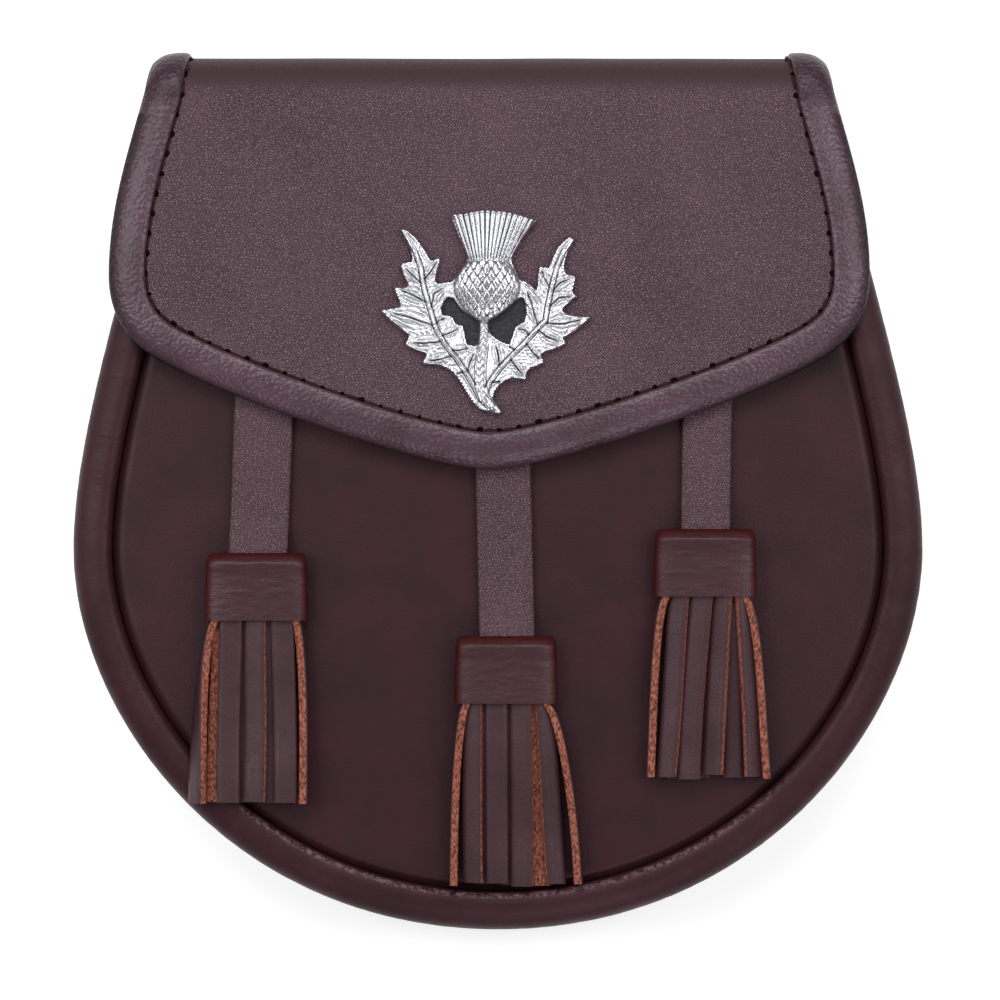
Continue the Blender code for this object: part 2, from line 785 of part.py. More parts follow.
def cap_top_place(tassel):
    """Where the middle of a sleeve's top edge is."""
    return Vector((POUCH_HALF_WIDTH * tassel.cap_across, BOTTOM_Y + POUCH_HEIGHT * tassel.cap_up))


def inner_level(tassel):
    """Height inside the sleeve on which the strap and the fringe's head lie."""
    return cap_base(tassel) + CAP_LEATHER + GAP


def build_strap(tassel, group, material):
    """A strap that lies on the front panel and runs from under the flap into its sleeve."""
    cap = cap_top_place(tassel)
    end_y = cap.y - STRAP_IN_CAP
    top_x = cap.x + tassel.strap_lean * STRAP_WIDTH
    top_y = flap_edge_height(top_x - FLAP_SIDE_SHIFT) + STRAP_TUCK
    level = inner_level(tassel) + STRAP_THICKNESS / 2
    rise_start = cap.y + 2 * GAP
    free = top_y - rise_start - STRAP_RISE_RUN
    heights = [top_y - free * share for share in (0.0, 0.2, 0.4, 0.6, 0.8, 1.0)]
    heights += [rise_start + STRAP_RISE_RUN * share for share in (0.75, 0.5, 0.25, 0.0)]
    heights.append(end_y)
    rows = []
    for y in heights:
        share = (y - rise_start) / (top_y - rise_start)
        middle_x = cap.x + (top_x - cap.x) * max(share, 0.0)
        lift = min(max(1 - (y - rise_start) / STRAP_RISE_RUN, 0.0), 1.0)
        lift = lift * lift * (3 - 2 * lift)
        row = []
        for side in (-0.5, 0.0, 0.5):
            x = middle_x + side * STRAP_WIDTH
            lying = panel_top(x, y) + GAP + STRAP_THICKNESS / 2
            row.append((x, y, lying + (level - lying) * lift))
        rows.append(row)
    add_sheet(f"tassel_strap_{tassel.side}", rows, STRAP_THICKNESS, group, material)


def add_block(name, low, high, group):
    """A box between two corners, its size applied."""
    low = Vector(low)
    high = Vector(high)
    bpy.ops.mesh.primitive_cube_add(size=1.0, location=(low + high) / 2)
    block = bpy.context.object
    block.scale = high - low
    bpy.ops.object.transform_apply(location=False, rotation=False, scale=True)
    take_over(block, name, group, None)
    return block


def build_cap(tassel, group, tools, material):
    """A leather sleeve: wider at its foot, with a slot for the strap and a pocket for the fringe's head."""
    cap = cap_top_place(tassel)
    base = cap_base(tassel)
    name = f"tassel_cap_{tassel.side}"
    half = CAP_WIDTH / 2
    foot_y = cap.y - CAP_HEIGHT
    sleeve = add_block(name, (cap.x - half, foot_y, base), (cap.x + half, cap.y, base + CAP_THICKNESS), group)
    sleeve.data.materials.append(material)
    for corner in sleeve.data.vertices:
        if corner.co.y < 0:
            corner.co.x *= 1 + CAP_FLARE / CAP_WIDTH
    rounding = sleeve.modifiers.new("soft_edges", "BEVEL")
    rounding.width = CAP_EDGE_ROUND
    rounding.segments = 2
    level = base + CAP_LEATHER
    pocket_top = cap.y - CAP_TOP_WALL
    pocket_half = CAP_POCKET_WIDTH / 2
    slot_half = STRAP_WIDTH / 2 + GAP
    overrun = CAP_HEIGHT / 2
    pocket = add_block(
        f"{name}_pocket",
        (cap.x - pocket_half, foot_y - overrun, level),
        (cap.x + pocket_half, pocket_top, level + FRINGE_THICKNESS + 2 * GAP),
        tools,
    )
    slot = add_block(
        f"{name}_slot",
        (cap.x - slot_half, pocket_top - CAP_TOP_WALL / 2, level),
        (cap.x + slot_half, cap.y + overrun, level + STRAP_THICKNESS + 2 * GAP),
        tools,
    )
    join_form(sleeve, pocket, "DIFFERENCE")
    join_form(sleeve, slot, "DIFFERENCE")
    smooth_round(sleeve)


def fringe_rows(tassel):
    """How far down each row of the fringe lies from the foot of its sleeve, with the rows in the sleeve above 0."""
    head = CAP_HEIGHT - STRAP_IN_CAP - GAP
    return [head, head / 2] + [-FRINGE_LENGTH * share for share in (0.0, 0.2, 0.4, 0.6, 0.8, 1.0)]


def build_fringe(tassel, outline, group, material):
    """The fringe: strips that part below the sleeve, fan out and sink to the front of the pouch."""
    cap = cap_top_place(tassel)
    foot_y = cap.y - CAP_HEIGHT
    level = inner_level(tassel) + FRINGE_THICKNESS / 2
    strip = (FRINGE_HEAD_WIDTH - (FRINGE_STRIPS - 1) * FRINGE_SLIT) / FRINGE_STRIPS
    columns = []
    for number in range(FRINGE_STRIPS):
        left = number * (strip + FRINGE_SLIT) - FRINGE_HEAD_WIDTH / 2
        columns += [left, left + strip]
    rows = fringe_rows(tassel)
    points = []
    for above in rows:
        down = max(-above / FRINGE_LENGTH, 0.0)
        for index, start in enumerate(columns):
            share = start / (FRINGE_HEAD_WIDTH / 2)
            spread = tassel.spread_left if share < 0 else tassel.spread_right
            x = cap.x + start + share * spread * FRINGE_LENGTH * down
            y = foot_y + above
            middle = (columns[index - index % 2] + strip / 2) / (FRINGE_HEAD_WIDTH / 2)
            tip_spread = tassel.spread_left if middle < 0 else tassel.spread_right
            tip_x = cap.x + middle * (FRINGE_HEAD_WIDTH / 2 + tip_spread * FRINGE_LENGTH)
            reach = strip
            tips = [Vector((tip_x + side * reach, foot_y - FRINGE_LENGTH)) for side in (-0.5, 0.0, 0.5)]
            rest = max(resting_height(tip, outline) for tip in tips) + GAP + FRINGE_THICKNESS / 2 + FRINGE_TWIST
            twist = FRINGE_TWIST * down * (1 if index % 2 else -1) * (1 if index // 2 % 2 else -1)
            points.append((x, y, level + (rest - level) * down ** 1.4 + twist))
    count = len(columns)
    faces = []
    for row in range(len(rows) - 1):
        in_head = rows[row + 1] > -GAP
        for column in range(count - 1):
            if in_head or column % 2 == 0:
                corner = row * count + column
                faces.append((corner, corner + 1, corner + count + 1, corner + count))
    fringe = add_mesh(f"tassel_fringe_{tassel.side}", points, faces, group, material)
    add_solidify(fringe, FRINGE_THICKNESS)


# Belt loops

def build_loop(side, centre_x, group, material):
    """A belt loop: two sewn tabs on the back panel and a flat bridge that the belt strap runs over."""
    rows = []
    for row in LOOP_PATH:
        y = LOOP_CENTRE_Y + LOOP_LENGTH * row.along
        sewn = back_underside(y) - (GAP + LOOP_THICKNESS / 2) / math.cos(BACK_TILT)
        lying = LOOP_THICKNESS / 2
        z = sewn + (lying - sewn) * row.drop
        rows.append([(centre_x - LOOP_WIDTH / 2, y, z), (centre_x + LOOP_WIDTH / 2, y, z)])
    add_sheet(f"belt_loop_{side}", rows, LOOP_THICKNESS, group, material)


# Whole sporran

def build_sporran():
    """Make every piece."""
    clear_scene()
    group = new_collection("sporran_pouch")
    tools = new_collection("joined_and_cutting_forms")
    satin = new_material("satin_leather", (0.045, 0.024, 0.027), 0.45)
    grained = new_material("grained_leather", (0.095, 0.065, 0.076), 0.55)
    soft = new_material("soft_binding_leather", (0.110, 0.078, 0.092), 0.42)
    strap = new_material("strap_leather", (0.095, 0.065, 0.070), 0.60)
    sleeve = new_material("sleeve_leather", (0.070, 0.035, 0.040), 0.45)
    cut = new_material("cut_fringe_leather", (0.120, 0.050, 0.040), 0.75)
    metal = new_material("antiqued_silver", (0.62, 0.62, 0.64), 0.28, 1.0)

    outline = pouch_outline()
    build_back(outline, group, satin)
    build_gusset(outline, group, satin)
    build_front(outline, group, satin)
    build_roll(outline, group, satin)
    build_flap(group, grained)
    build_binding(group, soft)
    build_stud(group, metal)
    build_badge(group, tools, metal)
    for tassel in TASSELS:
        build_strap(tassel, group, strap)
        build_cap(tassel, group, tools, sleeve)
        build_fringe(tassel, outline, group, cut)
    build_loop("left", -LOOP_FROM_MIDDLE, group, strap)
    build_loop("right", LOOP_FROM_MIDDLE, group, strap)


build_sporran()
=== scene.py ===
# %% [markdown]
# # A leather sporran pouch
# A day sporran is the pouch worn in front of a kilt. This one has a front panel framed by a padded
# roll, a grained flap with a bound edge, a cast thistle badge and three tassels of cut leather.
# The solids from the workshop model come in as a fixed frame. Every piece that shows is then made
# again as finely as the eye sees it, and it rides where its solid is.

# %% Load the frame
import math
import random

import bmesh
import bpy
from mathutils import Matrix, Vector, noise
from mathutils.geometry import interpolate_bezier


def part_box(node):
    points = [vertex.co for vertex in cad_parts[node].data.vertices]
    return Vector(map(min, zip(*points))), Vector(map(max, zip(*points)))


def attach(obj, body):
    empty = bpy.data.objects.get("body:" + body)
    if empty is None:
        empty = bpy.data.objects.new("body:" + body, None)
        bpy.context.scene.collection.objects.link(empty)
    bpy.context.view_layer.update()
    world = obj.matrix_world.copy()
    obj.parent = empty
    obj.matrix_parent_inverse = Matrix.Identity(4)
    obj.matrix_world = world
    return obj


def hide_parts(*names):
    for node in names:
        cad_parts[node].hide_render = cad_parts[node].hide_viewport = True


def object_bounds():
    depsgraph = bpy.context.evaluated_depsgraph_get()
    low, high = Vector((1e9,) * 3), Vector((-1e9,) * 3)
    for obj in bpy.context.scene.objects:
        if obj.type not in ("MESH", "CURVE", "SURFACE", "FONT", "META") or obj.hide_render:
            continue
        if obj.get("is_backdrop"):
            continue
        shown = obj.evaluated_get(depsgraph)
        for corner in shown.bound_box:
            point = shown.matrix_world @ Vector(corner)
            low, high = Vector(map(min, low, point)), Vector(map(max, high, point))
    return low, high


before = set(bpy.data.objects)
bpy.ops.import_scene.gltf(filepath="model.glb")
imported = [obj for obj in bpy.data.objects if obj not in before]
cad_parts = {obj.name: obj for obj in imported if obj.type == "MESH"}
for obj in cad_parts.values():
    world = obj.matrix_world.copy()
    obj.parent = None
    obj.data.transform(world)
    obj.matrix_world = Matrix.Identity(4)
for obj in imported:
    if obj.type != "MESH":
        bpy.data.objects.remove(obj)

cad_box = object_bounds()
MM = 0.001
print("frame loaded:", len(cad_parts), "solids")

# %% [markdown]
# ## Sizes read from the frame
# The solids already hold the real sizes, so the script measures them instead of repeating them.
# Only the sizes that a box can't tell, such as a leather's thickness, are named here.

# %% Sizes of the pouch and the flap
roll_low, roll_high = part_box("edge_roll")
panel_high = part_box("pouch_front")[1]
binding_low, binding_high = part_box("flap_binding")
badge_low, badge_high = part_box("badge")

ROLL_DIAMETER = roll_high.z - roll_low.z
ROLL_RADIUS = ROLL_DIAMETER / 2
ROLL_AXIS_Z = (roll_high.z + roll_low.z) / 2
POUCH_HALF_WIDTH = roll_high.x
BOTTOM_Y = roll_low.y
PANEL_THICKNESS = 2.0 * MM
PANEL_CROWN = panel_high.z - ROLL_AXIS_Z - PANEL_THICKNESS / 2
MOUTH_Y = panel_high.y
POUCH_HEIGHT = MOUTH_Y - BOTTOM_Y

BINDING_WIDTH = 8.5 * MM
BINDING_THICKNESS = 5.0 * MM
FLAP_THICKNESS = 2.2 * MM
FLAP_AXIS_X = (binding_low.x + binding_high.x) / 2
FLAP_HALF_WIDTH = (binding_high.x - binding_low.x) / 2
FLAP_CROWN = 1.8 * MM
FLAP_CROWN_RUN = 30 * MM
FOLD_RADIUS = 7.0 * MM
BACK_FOLD_RADIUS = 5.0 * MM
FOLD_Y = binding_high.y - BINDING_THICKNESS / 2
FOLD_START_Y = FOLD_Y - FOLD_RADIUS
FLAP_POINT_Y = binding_low.y
FLAP_Z = binding_high.z - FLAP_CROWN - BINDING_THICKNESS / 2
TOP_HALF_WIDTH = 77.3 * MM
print(f"pouch {2000 * POUCH_HALF_WIDTH:.0f} mm wide, flap {2000 * FLAP_HALF_WIDTH:.0f} mm wide")

# %% [markdown]
# ## Outlines as Bezier curves
# A pattern cutter draws half a piece and folds the leather. The same is done here: each half outline
# is a chain of Bezier curves, whose points are shares of the piece's size, and the other half is its
# mirror image. Moving a line sideways by a set distance then gives every seam and edge beside it.

# %% Half outlines and the functions that use them
# each row is one curve: start, two handles and end, as shares of half the width and the height
POUCH_CURVES = [
    ((0.757, 1.000), (0.888, 0.743), (1.000, 0.575), (1.000, 0.446)),
    ((1.000, 0.446), (1.000, 0.253), (0.633, 0.000), (0.000, 0.000)),
]
FLAP_CURVES = [
    ((0.906, 0.000), (0.949, 0.158), (1.000, 0.308), (1.000, 0.486)),
    ((1.000, 0.486), (1.000, 0.590), (0.949, 0.665), (0.869, 0.710)),
    ((0.869, 0.710), (0.709, 0.804), (0.160, 1.000), (0.000, 1.000)),
]


def curve_points(curves, steps):
    """Points along a chain of Bezier curves."""
    points = []
    for curve in curves:
        samples = interpolate_bezier(*curve, steps + 1)
        points.extend(samples[1:] if points else samples)
    return points


def mirrored(half):
    """A whole line from its right half, which ends on the middle line."""
    left = [Vector((-point.x, point.y)) for point in half]
    return left + list(reversed(half))[1:]


def line_normals(points):
    """The direction to the left of an open line at each of its points."""
    normals = []
    for index in range(len(points)):
        before = points[max(index - 1, 0)]
        after = points[min(index + 1, len(points) - 1)]
        along = (after - before).normalized()
        normals.append(Vector((-along.y, along.x)))
    return normals


def inset(points, distance):
    """An open line moved to its left by a distance."""
    return [point + normal * distance for point, normal in zip(points, line_normals(points))]


def evenly(points, count):
    """Points at equal steps along a line, and the length of the line."""
    lengths = [0.0]
    for start, end in zip(points, points[1:]):
        lengths.append(lengths[-1] + (end - start).length)
    spaced = []
    index = 0
    for step in range(count + 1):
        target = lengths[-1] * step / count
        while index < len(points) - 2 and lengths[index + 1] < target:
            index += 1
        share = (target - lengths[index]) / (lengths[index + 1] - lengths[index])
        spaced.append(points[index].lerp(points[index + 1], share))
    return spaced, lengths[-1]


def pouch_outline(steps=80):
    """The pouch's outline, from its mouth's left end round the bottom to its right end."""
    curves = []
    for row in POUCH_CURVES:
        curves.append([Vector((POUCH_HALF_WIDTH * x, BOTTOM_Y + POUCH_HEIGHT * y)) for x, y in row])
    return mirrored(curve_points(curves, steps))


outline = pouch_outline()
print("pouch outline:", len(outline), "points")

# %% [markdown]
# ## Heights of the leather
# The front panel is crowned like a shallow cushion. The flap is a sheet that lies level on the front,
# turns over the top and runs down behind the mouth, so a point of it is found from two distances:
# one across the leather and one along it, which is how it was cut flat.

# %% Surfaces of the panel, the back and the flap
back_low, back_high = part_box("pouch_back")
BACK_THICKNESS = 2.0 * MM
BACK_SLOPE = (back_high.z - BACK_THICKNESS) / (back_high.y - back_low.y)
BACK_TILT = math.atan(BACK_SLOPE)


def smooth(share):
    """An ease from 0 to 1."""
    share = min(max(share, 0.0), 1.0)
    return share * share * (3 - 2 * share)


def panel_top(x, y):
    """Height of the front panel's outer face."""
    middle_y = (MOUTH_Y + BOTTOM_Y) / 2
    across = max(1 - (x / POUCH_HALF_WIDTH) ** 2, 0.0)
    along = max(1 - ((y - middle_y) / (POUCH_HEIGHT / 2)) ** 2, 0.0)
    return ROLL_AXIS_Z + PANEL_THICKNESS / 2 + PANEL_CROWN * across * along


def back_underside(y):
    """Height of the back panel's underside."""
    return (y - back_low.y) * BACK_SLOPE


GAP = 0.3 * MM
TAIL_START_Y = FOLD_Y - BACK_FOLD_RADIUS * (1 - math.sin(BACK_TILT))
TAIL_Z = back_underside(TAIL_START_Y) - (GAP + FLAP_THICKNESS / 2) / math.cos(BACK_TILT)
BACK_CENTRE_Z = TAIL_Z + BACK_FOLD_RADIUS * math.cos(BACK_TILT)
FOLD_LENGTH = FOLD_RADIUS * math.pi / 2
DROP_LENGTH = FLAP_Z - FOLD_RADIUS - BACK_CENTRE_Z
BACK_FOLD_LENGTH = BACK_FOLD_RADIUS * (math.pi / 2 - BACK_TILT)
TAIL_LENGTH = 14 * MM


def flap_point(across, along):
    """A point in the middle of the flap's leather."""
    x = FLAP_AXIS_X + across
    past = along - FOLD_START_Y
    if past <= 0:
        fade = smooth(-past / FLAP_CROWN_RUN)
        rise = FLAP_CROWN * (1 - (across / FLAP_HALF_WIDTH) ** 2) * fade
        return Vector((x, along, FLAP_Z + rise))
    if past <= FOLD_LENGTH:
        turn = past / FOLD_RADIUS
        y = FOLD_START_Y + FOLD_RADIUS * math.sin(turn)
        return Vector((x, y, FLAP_Z - FOLD_RADIUS * (1 - math.cos(turn))))
    past -= FOLD_LENGTH
    if past <= DROP_LENGTH:
        return Vector((x, FOLD_Y, FLAP_Z - FOLD_RADIUS - past))
    past -= DROP_LENGTH
    turn = min(past, BACK_FOLD_LENGTH) / BACK_FOLD_RADIUS
    y = FOLD_Y - BACK_FOLD_RADIUS * (1 - math.cos(turn))
    z = BACK_CENTRE_Z - BACK_FOLD_RADIUS * math.sin(turn)
    rest = max(past - BACK_FOLD_LENGTH, 0.0)
    return Vector((x, y - rest * math.cos(BACK_TILT), z - rest * math.sin(BACK_TILT)))


def flap_normal(across, along):
    """The outward direction of the flap's leather."""
    step = 0.05 * MM
    sideways = flap_point(across + step, along) - flap_point(across - step, along)
    upwards = flap_point(across, along + step) - flap_point(across, along - step)
    return sideways.cross(upwards).normalized()


def flap_half_edge(steps=60):
    """The right half of the bound edge, from its end behind the mouth to the flap's point."""
    height = FOLD_START_Y - FLAP_POINT_Y
    curves = []
    for row in FLAP_CURVES:
        curves.append([Vector((FLAP_HALF_WIDTH * x, FOLD_START_Y - height * y)) for x, y in row])
    start = curves[0][0]
    edge = []
    for step in range(12, 0, -1):
        edge.append(Vector((TOP_HALF_WIDTH, FOLD_START_Y + FOLD_LENGTH + DROP_LENGTH * step / 12)))
    for step in range(12, 0, -1):
        width = start.x + (TOP_HALF_WIDTH - start.x) * step / 12
        edge.append(Vector((width, FOLD_START_Y + FOLD_LENGTH * step / 12)))
    return edge + curve_points(curves, steps)


flap_edge = mirrored(flap_half_edge())
print(f"flap edge {1000 * evenly(flap_edge, 10)[1]:.0f} mm long")

# %% [markdown]
# ## A grid that takes any shape
# Leather starts as a flat sheet, so most pieces start as a grid primitive. A function of two shares,
# one across the grid and one along it, puts each of its points in place. A grid that closes on itself
# is sewn up by merging its doubles. The grid's UV map is stretched to real lengths, so that creases
# and fibres in the materials can follow the leather.

# %% Helpers that start and finish a piece
def deselect_all():
    """Nothing selected, so that the next operator acts on its own piece alone."""
    bpy.ops.object.select_all(action="DESELECT")


def pick(piece):
    """Select one piece and make it the active one."""
    deselect_all()
    piece.select_set(True)
    bpy.context.view_layer.objects.active = piece


def shaped_grid(name, columns, rows, place, size=(1.0, 1.0)):
    """A grid primitive whose points are put in place by a function of two shares."""
    deselect_all()
    bpy.ops.mesh.primitive_grid_add(x_subdivisions=columns, y_subdivisions=rows, size=1.0)
    piece = bpy.context.object
    piece.name = name
    for corner in piece.data.vertices:
        corner.co = place(corner.co.x + 0.5, corner.co.y + 0.5)
    for loop in piece.data.uv_layers.active.data:
        loop.uv = (loop.uv.x * size[0], loop.uv.y * size[1])
    return piece


def sew_up(piece, fill=False):
    """Merge the doubles where a grid meets itself, fill its open ends and turn its faces out."""
    pick(piece)
    bpy.ops.object.mode_set(mode="EDIT")
    bpy.ops.mesh.select_all(action="SELECT")
    bpy.ops.mesh.remove_doubles(threshold=0.000002)
    if fill:
        bpy.ops.mesh.select_all(action="DESELECT")
        bpy.ops.mesh.select_non_manifold()
        bpy.ops.mesh.fill_holes(sides=0)
    bpy.ops.mesh.select_all(action="SELECT")
    bpy.ops.mesh.normals_make_consistent(inside=False)
    bpy.ops.object.mode_set(mode="OBJECT")


def mark(piece, name, measure):
    """Store a measure of each point as an attribute that the material reads."""
    values = piece.data.attributes.new(name, "FLOAT", "POINT")
    for corner, value in zip(piece.data.vertices, values.data):
        value.value = measure(corner.co)


def apply_modifier(piece, kind, **settings):
    """Add one modifier and apply it."""
    pick(piece)
    change = piece.modifiers.new(kind.lower(), kind)
    for name, value in settings.items():
        setattr(change, name, value)
    bpy.ops.object.modifier_apply(modifier=change.name)


def finish_piece(piece, slot, materials, *nodes, angle=50.0):
    """Give a piece its materials, its place in the frame and the solids that it stands for."""
    for material in materials:
        piece.data.materials.append(material)
    pick(piece)
    bpy.ops.object.shade_smooth_by_angle(angle=math.radians(angle))
    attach(piece, "root")
    if nodes:
        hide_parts(*nodes)
    print(piece.name, len(piece.data.polygons), "faces")


def join_copies(name, model, places):
    """One mesh that holds a copy of a small model at each place."""
    body = bmesh.new()
    for place in places:
        start = len(body.verts)
        body.from_mesh(model.data)
        body.verts.ensure_lookup_table()
        bmesh.ops.transform(body, matrix=place, verts=body.verts[start:])
    mesh = bpy.data.meshes.new(name)
    body.to_mesh(mesh)
    body.free()
    bpy.data.objects.remove(model)
    piece = bpy.data.objects.new(name, mesh)
    bpy.context.scene.collection.objects.link(piece)
    return piece


# %% [markdown]
# ## Materials: one function adds a node
# Every finish below is a small tree of nodes: a pattern at its real size in millimetres, a colour
# that follows it, and a bump for its relief. Colours are written as sRGB hex values, as read off
# a swatch, and turned to the linear values that the shader works in.

# %% Colour and node helpers
def colour(code):
    """The linear colour of an sRGB hex value."""
    channels = []
    for start in (1, 3, 5):
        value = int(code[start:start + 2], 16) / 255
        channels.append(value / 12.92 if value <= 0.04045 else ((value + 0.055) / 1.055) ** 2.4)
    return (*channels, 1.0)


def new_material(name):
    """A material with only its Principled shader and output."""
    material = bpy.data.materials.new(name)
    material.use_nodes = True
    return material


def add_node(material, kind, values=None, links=None, **settings):
    """One node: its settings, its sockets' own values and the outputs that its sockets are linked to."""
    node = material.node_tree.nodes.new(kind)
    for name, value in settings.items():
        setattr(node, name, value)
    for socket, value in (values or {}).items():
        node.inputs[socket].default_value = value
    for socket, source in (links or {}).items():
        material.node_tree.links.new(source, node.inputs[socket])
    return node


def per_mm(size):
    """The scale that makes a pattern's cell a size in millimetres, on coordinates in metres."""
    return 1.0 / (size * MM)


def shader_of(material):
    """The material's Principled shader."""
    return material.node_tree.nodes["Principled BSDF"]


def connect(material, source, socket):
    """Link an output to the shader."""
    material.node_tree.links.new(source, shader_of(material).inputs[socket])


# %% [markdown]
# ### Pebbled leather
# The flap and straps are full-grain cowhide, tumbled in the drum until its grain stands up in pebbles about
# half a millimetre across. Cells from a Voronoi pattern make the pebbles, and a noise bends the cells so that
# no two match. The colour follows the pebbles' height: their tops are painted pale as a painted highlight and
# their crevices dark as painted shade. Where the flap turns over its fold, its colour is painted darker as
# painted shade.

# %% Pebbled leather
# painted shade: the dark colour of the flap's fold band, which turns away from the light
FOLD_PAINTED_SHADE = "#331a1f"
# painted highlight: the pale colour of the thin line on the roll's inner shoulder
PAINTED_HIGHLIGHT_COLOUR = "#8a7078"


def grained_leather(name, low, high, pebble, relief):
    """Tumbled cowhide with raised pebbles, a size and a relief in millimetres."""
    leather = new_material(name)
    place = add_node(leather, "ShaderNodeTexCoord").outputs["Object"]
    drift = add_node(
        leather, "ShaderNodeTexNoise", {"Scale": per_mm(2.2), "Detail": 3.0, "Roughness": 0.6},
        {"Vector": place}
    )
    centred = add_node(
        leather, "ShaderNodeVectorMath", {1: (0.5, 0.5, 0.5)}, {0: drift.outputs["Color"]},
        operation="SUBTRACT"
    )
    swing = add_node(
        leather, "ShaderNodeVectorMath", {"Scale": 0.9 * MM}, {0: centred.outputs[0]}, operation="SCALE"
    )
    bent = add_node(leather, "ShaderNodeVectorMath", {}, {0: place, 1: swing.outputs[0]}, operation="ADD")
    cells = add_node(
        leather, "ShaderNodeTexVoronoi", {"Scale": per_mm(pebble)}, {"Vector": bent.outputs[0]},
        feature="DISTANCE_TO_EDGE",
    )
    domes = add_node(
        leather, "ShaderNodeTexVoronoi", {"Scale": per_mm(pebble)}, {"Vector": bent.outputs[0]}, feature="F1"
    )
    fine = add_node(
        leather, "ShaderNodeTexVoronoi", {"Scale": per_mm(pebble * 0.42)}, {"Vector": bent.outputs[0]},
        feature="F1"
    )
    crevice = add_node(
        leather, "ShaderNodeMapRange", {"From Min": 0.0, "From Max": 0.24},
        {"Value": cells.outputs["Distance"]},
        interpolation_type="SMOOTHSTEP",
    )
    dome = add_node(
        leather, "ShaderNodeMapRange", {"From Min": 0.75, "From Max": 0.0},
        {"Value": domes.outputs["Distance"]}
    )
    small = add_node(
        leather, "ShaderNodeMapRange", {"From Min": 0.8, "From Max": 0.0}, {"Value": fine.outputs["Distance"]}
    )
    body = add_node(
        leather, "ShaderNodeMath", {}, {0: crevice.outputs[0], 1: dome.outputs[0]}, operation="MULTIPLY"
    )
    height = add_node(
        leather, "ShaderNodeMath", {1: 0.28}, {0: small.outputs[0], 2: body.outputs[0]},
        operation="MULTIPLY_ADD"
    )
    fold = add_node(leather, "ShaderNodeAttribute", attribute_name="fold")
    worn = add_node(
        leather, "ShaderNodeMapRange", {"To Min": 1.0, "To Max": 0.12}, {"Value": fold.outputs["Fac"]}
    )
    raised = add_node(
        leather, "ShaderNodeMath", {}, {0: height.outputs[0], 1: worn.outputs[0]}, operation="MULTIPLY"
    )
    bump = add_node(
        leather, "ShaderNodeBump", {"Strength": 1.0, "Distance": relief * MM}, {"Height": raised.outputs[0]}
    )
    hide = add_node(
        leather, "ShaderNodeTexNoise", {"Scale": per_mm(26), "Detail": 4.0, "Roughness": 0.55},
        {"Vector": place}
    )
    tone = add_node(
        leather, "ShaderNodeMath", {1: 0.12, 2: 0.17}, {0: hide.outputs["Fac"]}, operation="MULTIPLY_ADD"
    )
    # painted highlight and painted shade: the pebbles' height lightens their tops and darkens their crevices,
    # mixed with the hide's random tone
    pebble_highlight_and_tone = add_node(
        leather, "ShaderNodeMath", {1: 0.55}, {0: height.outputs[0], 2: tone.outputs[0]},
        operation="MULTIPLY_ADD",
        use_clamp=True,
    )
    dye = add_node(leather, "ShaderNodeValToRGB", {}, {"Fac": pebble_highlight_and_tone.outputs[0]})
    dye.color_ramp.elements[0].color = colour(low)
    dye.color_ramp.elements[0].position = 0.20
    dye.color_ramp.elements[1].color = colour(high)
    dye.color_ramp.elements[1].position = 0.82
    # painted shade: the fold band is mixed towards a dark colour
    fold_painted_shade = add_node(
        leather, "ShaderNodeMix", {"B": colour(FOLD_PAINTED_SHADE)},
        {"A": dye.outputs["Color"], "Factor": fold.outputs["Fac"]},
        data_type="RGBA",
    )
    gloss = add_node(
        leather, "ShaderNodeMapRange", {"To Min": 0.68, "To Max": 0.44}, {"Value": height.outputs[0]}
    )
    connect(leather, fold_painted_shade.outputs["Result"], "Base Color")
    connect(leather, gloss.outputs[0], "Roughness")
    connect(leather, bump.outputs["Normal"], "Normal")
    shader_of(leather).inputs["Specular IOR Level"].default_value = 0.35
    return leather


# the low colour is painted shade in the crevices, the high colour a painted highlight on the pebble tops
flap_leather = grained_leather("pebbled_cowhide", "#2a171e", "#947782", pebble=0.56, relief=0.40)
strap_leather = grained_leather("pebbled_strap_cowhide", "#2a161c", "#8f717c", pebble=0.52, relief=0.33)
print("pebbled leathers ready")

# %% [markdown]
# ### Smooth, creased leather
# The panels, roll, binding and sleeves are a thinner, smoother skin with a wax finish. It has a very
# fine grain, soft clouds of darker dye and, where it is pulled round an edge, small creases. Its gloss
# is satin: the wax evens the surface, but the creases break the light.

